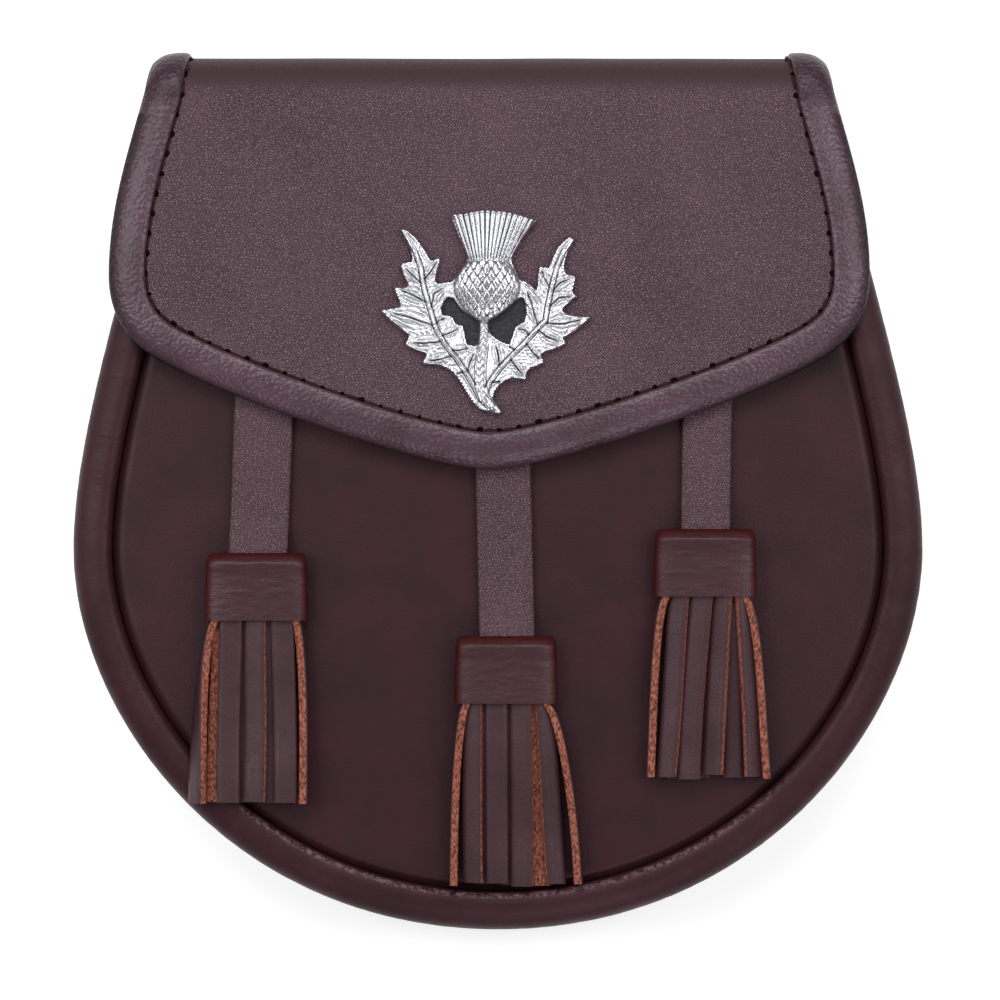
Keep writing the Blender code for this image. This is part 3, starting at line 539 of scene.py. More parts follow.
# %% Satin leather
def satin_leather(
    name, low, high, roughness, crease=(2.4, 1.2), crease_relief=0.0, uv=False, specular=0.3,
    pores=(0.42, 0.035), shade_colour="#120a0c",
):
    """Waxed smooth leather. crease is the size of its creases along and across, in millimetres, and pores the
    size and the depth of its grain. One attribute of a piece paints shade: it mixes in a dark colour and
    turns down the sheen where the leather turns away from the light. Another paints a pale highlight in
    broken patches."""
    leather = new_material(name)
    source = add_node(leather, "ShaderNodeTexCoord")
    place = source.outputs["Object"]
    clouds = add_node(
        leather, "ShaderNodeTexNoise", {"Scale": per_mm(17), "Detail": 5.0, "Roughness": 0.6},
        {"Vector": place}
    )
    grain = add_node(
        leather, "ShaderNodeTexVoronoi", {"Scale": per_mm(pores[0])}, {"Vector": place}, feature="F1"
    )
    stretch = add_node(
        leather, "ShaderNodeMapping", {"Scale": (per_mm(crease[0]), per_mm(crease[1]), per_mm(crease[1]))},
        {"Vector": source.outputs["UV"] if uv else place},
    )
    folds = add_node(
        leather, "ShaderNodeTexNoise", {"Scale": 1.0, "Detail": 2.0, "Roughness": 0.5, "Distortion": 0.3},
        {"Vector": stretch.outputs[0]},
    )
    offset = add_node(leather, "ShaderNodeMath", {1: 0.5}, {0: folds.outputs["Fac"]}, operation="SUBTRACT")
    near = add_node(leather, "ShaderNodeMath", {}, {0: offset.outputs[0]}, operation="ABSOLUTE")
    line = add_node(
        leather, "ShaderNodeMapRange", {"From Min": 0.0, "From Max": 0.035, "To Min": 1.0, "To Max": 0.0},
        {"Value": near.outputs[0]}, interpolation_type="SMOOTHSTEP",
    )
    patches = add_node(
        leather, "ShaderNodeTexNoise", {"Scale": per_mm(7.0), "Detail": 2.0}, {"Vector": place}
    )
    where = add_node(
        leather, "ShaderNodeMapRange", {"From Min": 0.40, "From Max": 0.60}, {"Value": patches.outputs["Fac"]}
    )
    depth = add_node(
        leather, "ShaderNodeMath", {}, {0: line.outputs[0], 1: where.outputs[0]}, operation="MULTIPLY"
    )
    pits = add_node(
        leather, "ShaderNodeMath", {1: -pores[1]}, {0: grain.outputs["Distance"]}, operation="MULTIPLY"
    )
    height = add_node(
        leather, "ShaderNodeMath", {1: -crease_relief}, {0: depth.outputs[0], 2: pits.outputs[0]},
        operation="MULTIPLY_ADD",
    )
    bump = add_node(
        leather, "ShaderNodeBump", {"Strength": 1.0, "Distance": 1.0 * MM}, {"Height": height.outputs[0]}
    )
    dye = add_node(leather, "ShaderNodeValToRGB", {}, {"Fac": clouds.outputs["Fac"]})
    dye.color_ramp.elements[0].color = colour(low)
    dye.color_ramp.elements[0].position = 0.30
    dye.color_ramp.elements[1].color = colour(high)
    dye.color_ramp.elements[1].position = 0.70
    gloss = add_node(
        leather, "ShaderNodeMapRange", {"From Min": 0.3, "From Max": 0.7, "To Min": roughness + 0.07,
        "To Max": roughness - 0.05}, {"Value": clouds.outputs["Fac"]},
    )
    # painted shade: an attribute mixes in a dark colour here and turns down the sheen below
    painted_shade = add_node(leather, "ShaderNodeAttribute", attribute_name="painted_shade")
    shaded_colour = add_node(
        leather, "ShaderNodeMix", {"B": colour(shade_colour)},
        {"A": dye.outputs["Color"], "Factor": painted_shade.outputs["Fac"]},
        data_type="RGBA",
    )
    # painted highlight: an attribute mixes in a pale colour in broken patches
    painted_highlight = add_node(leather, "ShaderNodeAttribute", attribute_name="painted_highlight")
    highlight_noise = add_node(
        leather, "ShaderNodeTexNoise", {"Scale": per_mm(1.1), "Detail": 4.0, "Roughness": 0.7},
        {"Vector": place}
    )
    highlight_breaks = add_node(
        leather, "ShaderNodeMapRange", {"From Min": 0.42, "From Max": 0.62}, {"Value": highlight_noise.outputs["Fac"]}
    )
    highlight_patches = add_node(
        leather, "ShaderNodeMath", {}, {0: painted_highlight.outputs["Fac"], 1: highlight_breaks.outputs[0]}, operation="MULTIPLY"
    )
    # the painted highlight is mixed into the colour here
    worn = add_node(
        leather, "ShaderNodeMix", {"B": colour(PAINTED_HIGHLIGHT_COLOUR)},
        {"A": shaded_colour.outputs["Result"], "Factor": highlight_patches.outputs[0]}, data_type="RGBA",
    )
    connect(leather, worn.outputs["Result"], "Base Color")
    connect(leather, gloss.outputs[0], "Roughness")
    connect(leather, bump.outputs["Normal"], "Normal")
    sheen = add_node(
        leather, "ShaderNodeMapRange", {"To Min": specular, "To Max": 0.0}, {"Value": painted_shade.outputs["Fac"]}
    )
    connect(leather, sheen.outputs[0], "Specular IOR Level")
    return leather


panel_leather = satin_leather("waxed_calf_panel", "#271217", "#381b22", 0.42, specular=0.2)
roll_leather = satin_leather(
    "waxed_calf_roll", "#2b131a", "#3b1d27", 0.44, (0.8, 3.0), 0.04, uv=True, specular=0.18
)
binding_leather = satin_leather(
    "soft_nappa_binding", "#38212a", "#523945", 0.32, (1.7, 3.0), 0.03, uv=True, specular=0.5,
    pores=(0.95, 0.15)
)
# the sleeve's dark red shade colour is painted shade on its turned-down sides and top
sleeve_leather = satin_leather(
    "waxed_calf_sleeve", "#34171d", "#3f2128", 0.37, (7.0, 1.5), 0.028, specular=0.35, shade_colour="#3a100f"
)
print("satin leathers ready")

# %% [markdown]
# ### Cut edges, thread and metal
# Where leather is cut, its undyed fibres show tan and dull. The thread is waxed linen, dark red-brown.
# The badge is a cast white metal, silver plated and then darkened: the dark oxide is polished off
# everything that stands up and stays in the hollows.

# %% Raw leather, thread and metals
def raw_leather():
    """The cut edges and the flesh side of dyed leather: loose fibres that run along the strip."""
    raw = new_material("cut_edge_suede")
    source = add_node(raw, "ShaderNodeTexCoord")
    stretch = add_node(
        raw, "ShaderNodeMapping", {"Scale": (per_mm(0.45), per_mm(0.9), per_mm(0.45))},
        {"Vector": source.outputs["Object"]}
    )
    fibres = add_node(
        raw, "ShaderNodeTexNoise", {"Scale": 1.0, "Detail": 4.0, "Roughness": 0.7},
        {"Vector": stretch.outputs[0]}
    )
    dye = add_node(raw, "ShaderNodeValToRGB", {}, {"Fac": fibres.outputs["Fac"]})
    dye.color_ramp.elements[0].color = colour("#40130e")
    dye.color_ramp.elements[0].position = 0.38
    dye.color_ramp.elements[1].color = colour("#b26851")
    dye.color_ramp.elements[1].position = 0.68
    bump = add_node(
        raw, "ShaderNodeBump", {"Strength": 0.9, "Distance": 0.25 * MM}, {"Height": fibres.outputs["Fac"]}
    )
    connect(raw, dye.outputs["Color"], "Base Color")
    connect(raw, bump.outputs["Normal"], "Normal")
    shader_of(raw).inputs["Roughness"].default_value = 0.92
    return raw


def plain_finish(name, code, roughness, metallic=0.0, grain=0.3, relief=0.02):
    """A finish of one colour with a fine relief."""
    finish = new_material(name)
    place = add_node(finish, "ShaderNodeTexCoord").outputs["Object"]
    rough = add_node(finish, "ShaderNodeTexNoise", {"Scale": per_mm(grain), "Detail": 3.0}, {"Vector": place})
    bump = add_node(
        finish, "ShaderNodeBump", {"Strength": 1.0, "Distance": relief * MM}, {"Height": rough.outputs["Fac"]}
    )
    shader_of(finish).inputs["Base Color"].default_value = colour(code)
    shader_of(finish).inputs["Roughness"].default_value = roughness
    shader_of(finish).inputs["Metallic"].default_value = metallic
    connect(finish, bump.outputs["Normal"], "Normal")
    return finish


def antiqued_silver():
    """Plated cast metal: bright where the casting's own shine attribute is high, dark in its hollows."""
    silver = new_material("antiqued_silver_plate")
    place = add_node(silver, "ShaderNodeTexCoord").outputs["Object"]
    shine = add_node(silver, "ShaderNodeAttribute", attribute_name="shine")
    cast = add_node(
        silver, "ShaderNodeTexNoise", {"Scale": per_mm(0.7), "Detail": 4.0, "Roughness": 0.6},
        {"Vector": place}
    )
    worn = add_node(
        silver, "ShaderNodeMath", {1: 0.5, 2: -0.25}, {0: cast.outputs["Fac"]}, operation="MULTIPLY_ADD"
    )
    polish = add_node(
        silver, "ShaderNodeMath", {}, {0: shine.outputs["Fac"], 1: worn.outputs[0], 2: shine.outputs["Fac"]},
        operation="MULTIPLY_ADD", use_clamp=True,
    )
    metal = add_node(silver, "ShaderNodeValToRGB", {}, {"Fac": polish.outputs[0]})
    metal.color_ramp.elements[0].color = colour("#2a2a2d")
    metal.color_ramp.elements[0].position = 0.12
    metal.color_ramp.elements[1].color = colour("#e2e2e6")
    metal.color_ramp.elements[1].position = 0.62
    gloss = add_node(
        silver, "ShaderNodeMapRange", {"To Min": 0.62, "To Max": 0.24}, {"Value": polish.outputs[0]}
    )
    bump = add_node(
        silver, "ShaderNodeBump", {"Strength": 0.5, "Distance": 0.08 * MM}, {"Height": cast.outputs["Fac"]}
    )
    shader_of(silver).inputs["Metallic"].default_value = 1.0
    connect(silver, metal.outputs["Color"], "Base Color")
    connect(silver, gloss.outputs[0], "Roughness")
    connect(silver, bump.outputs["Normal"], "Normal")
    return silver


cut_leather = raw_leather()
strip_leather = satin_leather("waxed_strip_leather", "#2e171c", "#41262d", 0.46, (0.9, 2.6), 0.03)
thread = plain_finish("waxed_linen_thread", "#2e1310", 0.6, grain=0.25, relief=0.05)
needle_hole = plain_finish("needle_hole_shadow", "#0a0606", 0.9)
shader_of(thread).inputs["Specular IOR Level"].default_value = 0.15
shader_of(needle_hole).inputs["Specular IOR Level"].default_value = 0.05
silver = antiqued_silver()
stud_metal = plain_finish("nickel_plated_steel", "#8b8884", 0.3, metallic=1.0)
print("raw leather, thread and metals ready")

# %% [markdown]
# ## The padded roll
# The frame of the pouch is a strip of calf wrapped round a cord filler and sewn in between the front panel
# and the gusset. It is swept as a round section along the outline. Leather pulled round a bend gathers a
# little, so the radius wavers by a few hundredths of a millimetre, and its material adds fine creases across
# the roll. At the foot of the pouch, a thin pale line is painted along the roll's inner shoulder as a painted
# highlight, where it faces the light, and an attribute marks where.

# %% Edge roll
def sweep_frame(points, share):
    """A point and the inward direction at a share of a line's length, for points at equal steps."""
    place = share * (len(points) - 1)
    index = min(int(place), len(points) - 2)
    start, end = points[index], points[index + 1]
    before = points[max(index - 1, 0)]
    after = points[min(index + 2, len(points) - 1)]
    part = place - index
    along = (end - before).normalized().lerp((after - start).normalized(), part).normalized()
    return start.lerp(end, part), Vector((-along.y, along.x))


def below(points, level):
    """The part of an open line that lies below a level."""
    return [point for point in points if point.y <= level]


ROLL_STEPS = 600
ROLL_END_ROUND = 2.5 * MM
CREST_LEAN = 0.40
roll_line, roll_length = evenly(below(inset(outline, ROLL_RADIUS), FOLD_START_Y), ROLL_STEPS)


def roll_place(along, around):
    """A point of the roll, whose section starts and closes underneath and has its crest near the panel."""
    point, inward = sweep_frame(roll_line, along)
    turn = 2 * math.pi * around
    waver = 0.05 * MM * noise.noise(Vector((along * 260, math.cos(turn) * 1.5, math.sin(turn) * 1.5)))
    end = min(along, 1 - along) * roll_length
    closed = min(end / ROLL_END_ROUND, 1.0)
    closing = math.sqrt(closed * (2 - closed))
    radius = (ROLL_RADIUS - 0.03 * MM) * max(closing, 0.3) + waver
    rise = -math.cos(turn)
    side = point + inward * radius * (CREST_LEAN * max(rise, 0.0) ** 2 - math.sin(turn))
    return Vector((side.x, side.y, ROLL_AXIS_Z + rise * radius))


roll = shaped_grid(
    "edge_roll_leather", ROLL_STEPS, 28, roll_place, (roll_length, math.pi * ROLL_DIAMETER)
)
sew_up(roll, fill=True)

# the painted highlight line's place past the crest and half its width, as angles round the roll in radians
HIGHLIGHT_PAST_CREST = 0.55
HIGHLIGHT_HALF_ANGLE = 0.26
HIGHLIGHT_STRENGTH = 0.9
HIGHLIGHT_START_Y = -60.0 * MM
HIGHLIGHT_FADE = 16.0 * MM
around_roll = {}
for loop, spot in zip(roll.data.loops, roll.data.uv_layers.active.data):
    around_roll[tuple(roll.data.vertices[loop.vertex_index].co)] = 2 * spot.uv.y / ROLL_DIAMETER


def roll_painted_highlight(point):
    """How much painted highlight the roll's inner shoulder gets: a thin pale line at the foot of the pouch.
    """
    off_line = abs(around_roll[tuple(point)] - math.pi - HIGHLIGHT_PAST_CREST) / HIGHLIGHT_HALF_ANGLE
    return HIGHLIGHT_STRENGTH * (1 - smooth(off_line)) * smooth((HIGHLIGHT_START_Y - point.y) / HIGHLIGHT_FADE)


# painted highlight along the roll's inner shoulder
mark(roll, "painted_highlight", roll_painted_highlight)
finish_piece(roll, "rolled_leather", [roll_leather], "edge_roll")
print(f"roll {1000 * roll_length:.0f} mm long")

# %% [markdown]
# ## Front panel and back panel
# The front is cut from one skin and pressed over a form, so it is crowned, and its rim turns down into
# the seam beside the roll. The back is flat and tilts slightly, because the belt loops lift its top. Both
# are made of rings that shrink towards the middle, so their edges follow the outline exactly.

# %% Panels from rings
def ring_panel(name, edge, height, thickness, columns, rows):
    """A panel whose grid runs round its edge and in to its middle."""
    loop, length = evenly(edge + [edge[0]], columns)
    middle = Vector((0.0, (MOUTH_Y + BOTTOM_Y) / 2))

    def place(around, inward):
        start = loop[min(round(around * columns), columns)]
        spread = start.lerp(middle, 0.35 * inward + 0.65 * inward ** 2)
        distance = (spread - start).length
        return Vector((spread.x, spread.y, height(spread.x, spread.y, distance)))

    panel = shaped_grid(name, columns, rows, place, (length, POUCH_HALF_WIDTH))
    sew_up(panel)
    if sum(face.normal.z for face in panel.data.polygons) < 0:
        pick(panel)
        bpy.ops.object.mode_set(mode="EDIT")
        bpy.ops.mesh.select_all(action="SELECT")
        bpy.ops.mesh.flip_normals()
        bpy.ops.object.mode_set(mode="OBJECT")
    apply_modifier(panel, "SOLIDIFY", thickness=thickness, offset=-1.0)
    return panel


PANEL_COLUMNS = 420
SHOULDER_RUN = 2.6 * MM
SHOULDER_DROP = 1.5 * MM
FRONT_LEATHER = 1.4 * MM


def front_height(x, y, distance):
    """The front's outer face, which rolls down into its seam over the last few millimetres."""
    shoulder = 1 - min(distance / SHOULDER_RUN, 1.0)
    ripple = 0.06 * MM * noise.noise(Vector((x, y, 0.0)) * per_mm(14))
    return panel_top(x, y) - SHOULDER_DROP * shoulder ** 2 + ripple * (1 - shoulder)


front_edge = below(inset(outline, ROLL_DIAMETER + 0.15 * MM), MOUTH_Y)
front = ring_panel(
    "front_panel_leather", front_edge, front_height, FRONT_LEATHER, PANEL_COLUMNS, 60
)
finish_piece(front, "satin_leather", [panel_leather], "pouch_front")


def back_height(x, y, distance):
    """The back's upper face, which is flat, so only its distance from the bottom counts."""
    return back_underside(y) + BACK_THICKNESS + 0.05 * MM


back_edge = below(inset(outline, 1.0 * MM), back_high.y)
back = ring_panel(
    "back_panel_leather", back_edge, back_height, BACK_THICKNESS, PANEL_COLUMNS, 24
)
finish_piece(back, "satin_leather", [panel_leather], "pouch_back")

# %% [markdown]
# ## Gusset
# The side wall is a strip with one soft fold, like the bellows of a camera, that lets the pouch open
# and close. Its two edges are sewn to the back and under the roll.

# %% Gusset with its fold
GUSSET_THICKNESS = 2.0 * MM
GUSSET_FOLD = 2.5 * MM
GUSSET_INSET = 3.0 * MM
GUSSET_STEPS = 420
gusset_line, gusset_length = evenly(below(inset(outline, GUSSET_INSET), MOUTH_Y), GUSSET_STEPS)
gusset_top = roll_low.z - GAP


def gusset_place(along, up):
    """A point in the middle of the gusset's leather."""
    point, inward = sweep_frame(gusset_line, along)
    low = back_underside(point.y) + BACK_THICKNESS + GAP
    fold = math.sin(math.pi * up) ** 4
    sag = 0.25 * MM * noise.noise(Vector((along * 24, up * 2, 3.0))) * math.sin(math.pi * up)
    side = point + inward * (GUSSET_FOLD * fold + sag)
    return Vector((side.x, side.y, low + (gusset_top - low) * up))


gusset = shaped_grid("gusset_leather", GUSSET_STEPS, 24, gusset_place, (gusset_length, gusset_top))
apply_modifier(gusset, "SOLIDIFY", thickness=GUSSET_THICKNESS - 0.4 * MM, offset=0.0)
sew_up(gusset)
finish_piece(gusset, "satin_leather", [panel_leather], "pouch_gusset")

# %% [markdown]
# ## Flap
# The flap is one piece of pebbled cowhide. It lies on the front, turns over the top and ends in a tail that
# is sewn behind the mouth. The sheet's grid is placed with flap_point, once for its outer and once for its
# flesh side. Where leather is folded its grain is pulled flat and polished, so a fold attribute tells the
# material where to fade the pebbles. The same attribute darkens the colour of the fold band as painted shade,
# where it turns away from the light.

# %% Flap sheet
TAIL_HALF_WIDTH = 70 * MM
TAIL_NARROWING = 9 * MM
UNDER_BINDING = 4.0 * MM
flap_inner = inset(flap_edge, UNDER_BINDING)
half_inner = [point for point in flap_inner if point.x < 0]
flap_end = FOLD_START_Y + FOLD_LENGTH + DROP_LENGTH + BACK_FOLD_LENGTH + TAIL_LENGTH


def half_width_at(along):
    """Half the flap's width at a distance along its leather."""
    first = half_inner[0]
    if along >= first.y:
        share = smooth((along - first.y) / TAIL_NARROWING)
        return -first.x + (TAIL_HALF_WIDTH + first.x) * share
    for start, end in zip(half_inner, half_inner[1:]):
        if start.y >= along >= end.y and start.y > end.y:
            return -start.x + (start.x - end.x) * (start.y - along) / (start.y - end.y)
    return 0.0


flap_rows = 230
flap_low = min(point.y for point in flap_inner)
row_widths = []
for row in range(flap_rows + 1):
    row_widths.append(half_width_at(flap_low + (flap_end - flap_low) * row / flap_rows))


def flap_place(across, up):
    """A point in the middle of the flap's leather."""
    along = flap_low + (flap_end - flap_low) * up
    width = max(row_widths[round(up * flap_rows)], 0.2 * MM)
    offset = (2 * across - 1) * width
    dent = 0.12 * MM * noise.noise(Vector((offset, along, 0.0)) * per_mm(22))
    return flap_point(offset, along) + flap_normal(offset, along) * dent


flap = shaped_grid("flap_leather", 150, flap_rows, flap_place)
mark(flap, "fold", lambda point: smooth((point.y - FOLD_START_Y + 1.0 * MM) / (3.5 * MM)))
apply_modifier(flap, "SOLIDIFY", thickness=FLAP_THICKNESS, offset=0.0)
finish_piece(flap, "grained_leather", [flap_leather], "flap")

# %% [markdown]
# ## Binding
# A strip of soft nappa is folded round the flap's edge and sewn through. Its section is a flattened C whose
# crest stands near the inner side. It is swept along the edge with the flap's own normals, so that it turns
# over the fold with the leather. Small creases run across it, deepest in its middle, and an attribute darkens
# and dulls its lower rim and, thinner, the part over the fold as painted shade, where the leather turns away
# from the light.

# %% Binding swept round the edge
# points of the section in millimetres: how far in from the edge, and how high above the flap's middle
BINDING_PROFILE = [
    (8.50, 1.15), (8.50, 1.75), (8.15, 2.20), (7.50, 2.42), (6.60, 2.50), (5.60, 2.48), (4.50, 2.36),
    (3.40, 2.14), (2.40, 1.80), (1.50, 1.32), (0.75, 0.74), (0.22, 0.16), (0.02, -0.35), (0.12, -0.95),
    (0.60, -1.55), (1.50, -2.05), (3.00, -2.40), (5.00, -2.48), (7.20, -2.40), (8.20, -2.10), (8.50, -1.60),
    (8.50, -1.15), (8.50, 0.00), (8.50, 1.15),
]
BINDING_STEPS = 760
binding_line, binding_length = evenly(flap_edge, BINDING_STEPS)


def binding_place(along, around):
    """A point of the binding's surface."""
    point, inward = sweep_frame(binding_line, along)
    row = min(round(around * (len(BINDING_PROFILE) - 1)), len(BINDING_PROFILE) - 1)
    inset_mm, rise_mm = BINDING_PROFILE[row]
    where = Vector((along * binding_length, inset_mm * MM, 0.0))
    crease = noise.noise(where * per_mm(1.9)) + 0.5 * noise.noise(where * per_mm(0.9))
    crest = math.sin(math.pi * min(inset_mm / BINDING_WIDTH * MM, 1.0))
    rise = rise_mm * MM - abs(crease) * 0.11 * MM * crest * (1 if rise_mm > 0 else 0)
    edge = point + inward * inset_mm * MM
    return flap_point(edge.x, edge.y) + flap_normal(edge.x, edge.y) * rise


binding = shaped_grid(
    "binding_nappa", BINDING_STEPS, len(BINDING_PROFILE) - 1, binding_place,
    (binding_length, 2.6 * BINDING_WIDTH),
)
sew_up(binding, fill=True)

# painted shade on the binding: darker and duller over the fold and on its lower rim
FOLD_SHADE = 0.45
FOLD_SHADE_RUN = 5.0 * MM
RIM_SHADE = 0.85
RIM_TOP = 2.4 * MM
RIM_FADE = 2.2 * MM


def binding_painted_shade(point):
    """Painted shade on the binding's lower rim and, thinner, over the fold."""
    if point.y > FOLD_START_Y - FOLD_SHADE_RUN:
        return FOLD_SHADE * smooth((point.y - FOLD_START_Y + FOLD_SHADE_RUN) / FOLD_SHADE_RUN)
    return RIM_SHADE * smooth((FLAP_Z + RIM_TOP - point.z) / RIM_FADE)


mark(binding, "painted_shade", binding_painted_shade)
finish_piece(binding, "binding_leather", [binding_leather], "flap_binding", angle=40)
print(f"binding {1000 * binding_length:.0f} mm long")

# %% [markdown]
# ## Stitching
# The binding is sewn down with stitches a little under five millimetres apart. Each is a waxed thread
# that dips into an awl hole at both ends and pulls a furrow into the leather. One thread and one hole are
# modelled, and copies of them stand along the seam.

# %% Stitches along the binding
STITCH_PITCH = 4.65 * MM
STITCH_LENGTH = 3.9 * MM
THREAD_RADIUS = 0.36 * MM
HOLE_RADIUS = 0.85 * MM
SEAM_BESIDE_BINDING = 0.30 * MM


def surface_matrix(place, along, normal):
    """A matrix that sets a model's X along a seam and its Z off the leather."""
    across = normal.cross(along).normalized()
    axis = across.cross(normal).normalized()
    turn = Matrix((axis, across, normal)).transposed().to_4x4()
    return Matrix.Translation(place) @ turn


def thread_model(length, radius):
    """One stitch: a capsule of thread, bowed so that its ends dip."""
    deselect_all()
    bpy.ops.mesh.primitive_cylinder_add(
        vertices=8, radius=radius, depth=length, end_fill_type="TRIFAN", rotation=(0.0, math.pi / 2, 0.0)
    )
    model = bpy.context.object
    bpy.ops.object.transform_apply(location=True, rotation=True, scale=True)
    bpy.ops.object.mode_set(mode="EDIT")
    for share in (-0.25, 0.0, 0.25):
        bpy.ops.mesh.select_all(action="SELECT")
        bpy.ops.mesh.bisect(plane_co=(share * length, 0, 0), plane_no=(1, 0, 0))
    bpy.ops.object.mode_set(mode="OBJECT")
    for corner in model.data.vertices:
        share = corner.co.x / (length / 2)
        corner.co.z -= 0.9 * radius * share * share
    return model


def hole_model(radius):
    """One awl hole: a flat near-black disc, painted shadow where the hole is."""
    deselect_all()
    bpy.ops.mesh.primitive_cylinder_add(vertices=10, radius=radius, depth=0.2 * MM)
    model = bpy.context.object
    bpy.ops.object.transform_apply(location=True, rotation=True, scale=True)
    return model


def seam_places(points, surface, pitch, jitter=0.0, seed=7):
    """Matrices along a seam at a pitch, on a surface given as a function of across and along."""
    chance = random.Random(seed)
    length = evenly(points, 1)[1]
    line = evenly(points, round(length / pitch))[0]
    middles, ends = [], []
    for start, end in zip(line, line[1:]):
        low, normal = surface(start)
        high = surface(end)[0]
        middle = surface(start.lerp(end, 0.5))[0]
        nudge = Vector((chance.uniform(-jitter, jitter), chance.uniform(-jitter, jitter), 0.0))
        middles.append(surface_matrix(middle + nudge, high - low, normal))
        torn = Matrix.Diagonal((chance.uniform(0.6, 1.25), chance.uniform(0.5, 1.0), 1.0, 1.0))
        slant = Matrix.Rotation(chance.uniform(-0.7, 0.7), 4, "Z")
        ends.append(surface_matrix(low + nudge, high - low, normal) @ slant @ torn)
    return middles, ends


def flap_surface(point):
    """The flap's outer face and its normal."""
    normal = flap_normal(point.x, point.y)
    return flap_point(point.x, point.y) + normal * FLAP_THICKNESS / 2, normal


seam = inset(flap_edge, BINDING_WIDTH + SEAM_BESIDE_BINDING)
thread_places, hole_places = seam_places(seam, flap_surface, STITCH_PITCH, 0.1 * MM)
one_stitch = thread_model(STITCH_LENGTH, THREAD_RADIUS)
flap_stitches = join_copies("flap_stitches", one_stitch, thread_places)
finish_piece(flap_stitches, "binding_leather", [thread])
# the dark discs are painted shadow in the awl holes
flap_holes = join_copies("flap_awl_holes", hole_model(HOLE_RADIUS), hole_places)
finish_piece(flap_holes, "grained_leather", [needle_hole])
print(len(thread_places), "stitches")

# %% [markdown]
# ## Ribbons of leather
# Straps, tassel strips and belt loops are all cut strips. Each is a section with slightly rounded
# corners, carried along a path. Its two narrow sides are the cut edges, so those faces take the raw
# leather, while the top keeps the finished grain.

# %% A strip carried along a path
# points of the section as shares of half the width and of half the thickness
RIBBON_SECTION = [
    (-0.93, 1.00), (-0.50, 1.04), (0.00, 1.06), (0.50, 1.04), (0.93, 1.00), (1.00, 0.72), (1.00, -0.72),
    (0.93, -1.00), (0.00, -1.00), (-0.93, -1.00), (-1.00, -0.72), (-1.00, 0.72), (-0.93, 1.00),
]
RIBBON_SIDES = {5, 10}
RIBBON_UNDER = {6, 7, 8, 9}


def ribbon(name, rows, length, width, thickness, station, finish, flesh_up=False):
    """A strip whose station function gives its centre, its across direction and its normal."""
    columns = len(RIBBON_SECTION) - 1

    def place(around, along):
        across_share, rise_share = RIBBON_SECTION[min(round(around * columns), columns)]
        centre, across, normal = station(along)
        return centre + across * (across_share * width / 2) + normal * (rise_share * thickness / 2)

    strip = shaped_grid(name, columns, rows, place)
    strip.data.materials.append(finish)
    strip.data.materials.append(cut_leather)
    layer = strip.data.uv_layers.active.data
    for face in strip.data.polygons:
        middle = sum(layer[index].uv.x for index in face.loop_indices) / len(face.loop_indices)
        column = int(middle * columns)
        raw = column in RIBBON_SIDES or (column in RIBBON_UNDER) != flesh_up
        face.material_index = 1 if raw else 0
    for loop in layer:
        loop.uv = (loop.uv.x * 2 * (width + thickness), loop.uv.y * length)
    sew_up(strip, fill=True)
    for face in strip.data.polygons:
        if len(face.vertices) > 4:
            face.material_index = 1
    return strip


def tilted(angle):
    """The across direction and the normal of a strip that runs along Y, turned by an angle."""
    across = Vector((math.cos(angle), 0.0, math.sin(angle)))
    return across, Vector((-math.sin(angle), 0.0, math.cos(angle)))


# %% [markdown]
# ## Tassel straps
# Three straps of the flap's own leather hang from behind it and carry the tassels. Each lies on the
# front and climbs a little before it enters its sleeve.

# %% Straps
TASSEL_SIDES = ("left", "centre", "right")
STRAP_WIDTHS = {"left": 13.4 * MM, "centre": 12.6 * MM, "right": 11.2 * MM}
STRAP_FEET = {"left": 0.7 * MM, "centre": 0.4 * MM, "right": 0.3 * MM}
STRAP_THICKNESS = 2.4 * MM
STRAP_RISE_RUN = 8.0 * MM
STRAP_LEANS = {"left": 0.14, "centre": -0.10, "right": 0.06}
CAP_LEATHER = 1.8 * MM

for side in TASSEL_SIDES:
    cap_low, cap_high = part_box(f"tassel_cap_{side}")
    strap_low, strap_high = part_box(f"tassel_strap_{side}")
    cap_x = (cap_low.x + cap_high.x) / 2 + STRAP_FEET[side]
    level = cap_low.z + CAP_LEATHER + GAP + STRAP_THICKNESS / 2
    strap_length = strap_high.y - strap_low.y

    def strap_station(along):
        """The strap's centre and directions at a share of its length, from the sleeve upwards."""
        y = strap_low.y + strap_length * along
        above = max(y - cap_high.y, 0.0)
        lean = STRAP_LEANS[side] * STRAP_WIDTHS[side] * above / (strap_high.y - cap_high.y)
        lift = smooth(1 - above / STRAP_RISE_RUN)
        lying = panel_top(cap_x + lean, y) + GAP + STRAP_THICKNESS / 2
        return Vector((cap_x + lean, y, lying + (level - lying) * lift)), *tilted(0.0)

    width = STRAP_WIDTHS[side]
    strap = ribbon(f"strap_{side}", 70, strap_length, width, STRAP_THICKNESS, strap_station, strap_leather)
    finish_piece(strap, "strap_leather", [], f"tassel_strap_{side}", angle=60)

# %% [markdown]
# ## Tassel sleeves
# A sleeve is a band of thin calf wrapped wet round the strap's end and the head of the fringe. As it
# dries it grips them, so it is flat with round corners, its top edge turns in, and small creases run
# across it.

# %% Sleeves
CAP_WIDTH = 22.2 * MM
CAP_END_ROUND = 2.4 * MM
CAP_TURNED_IN = 1.3 * MM
CAP_FLARE = 0.5 * MM
CAP_RIDGE = 0.40 * MM
CAP_SKIN = 0.9 * MM


def squircle(turn, power):
    """A point of a rounded rectangle at an angle, with half sides of one."""
    cosine, sine = math.cos(turn), math.sin(turn)
    size = (abs(cosine) ** power + abs(sine) ** power) ** (-1 / power)
    return cosine * size, sine * size


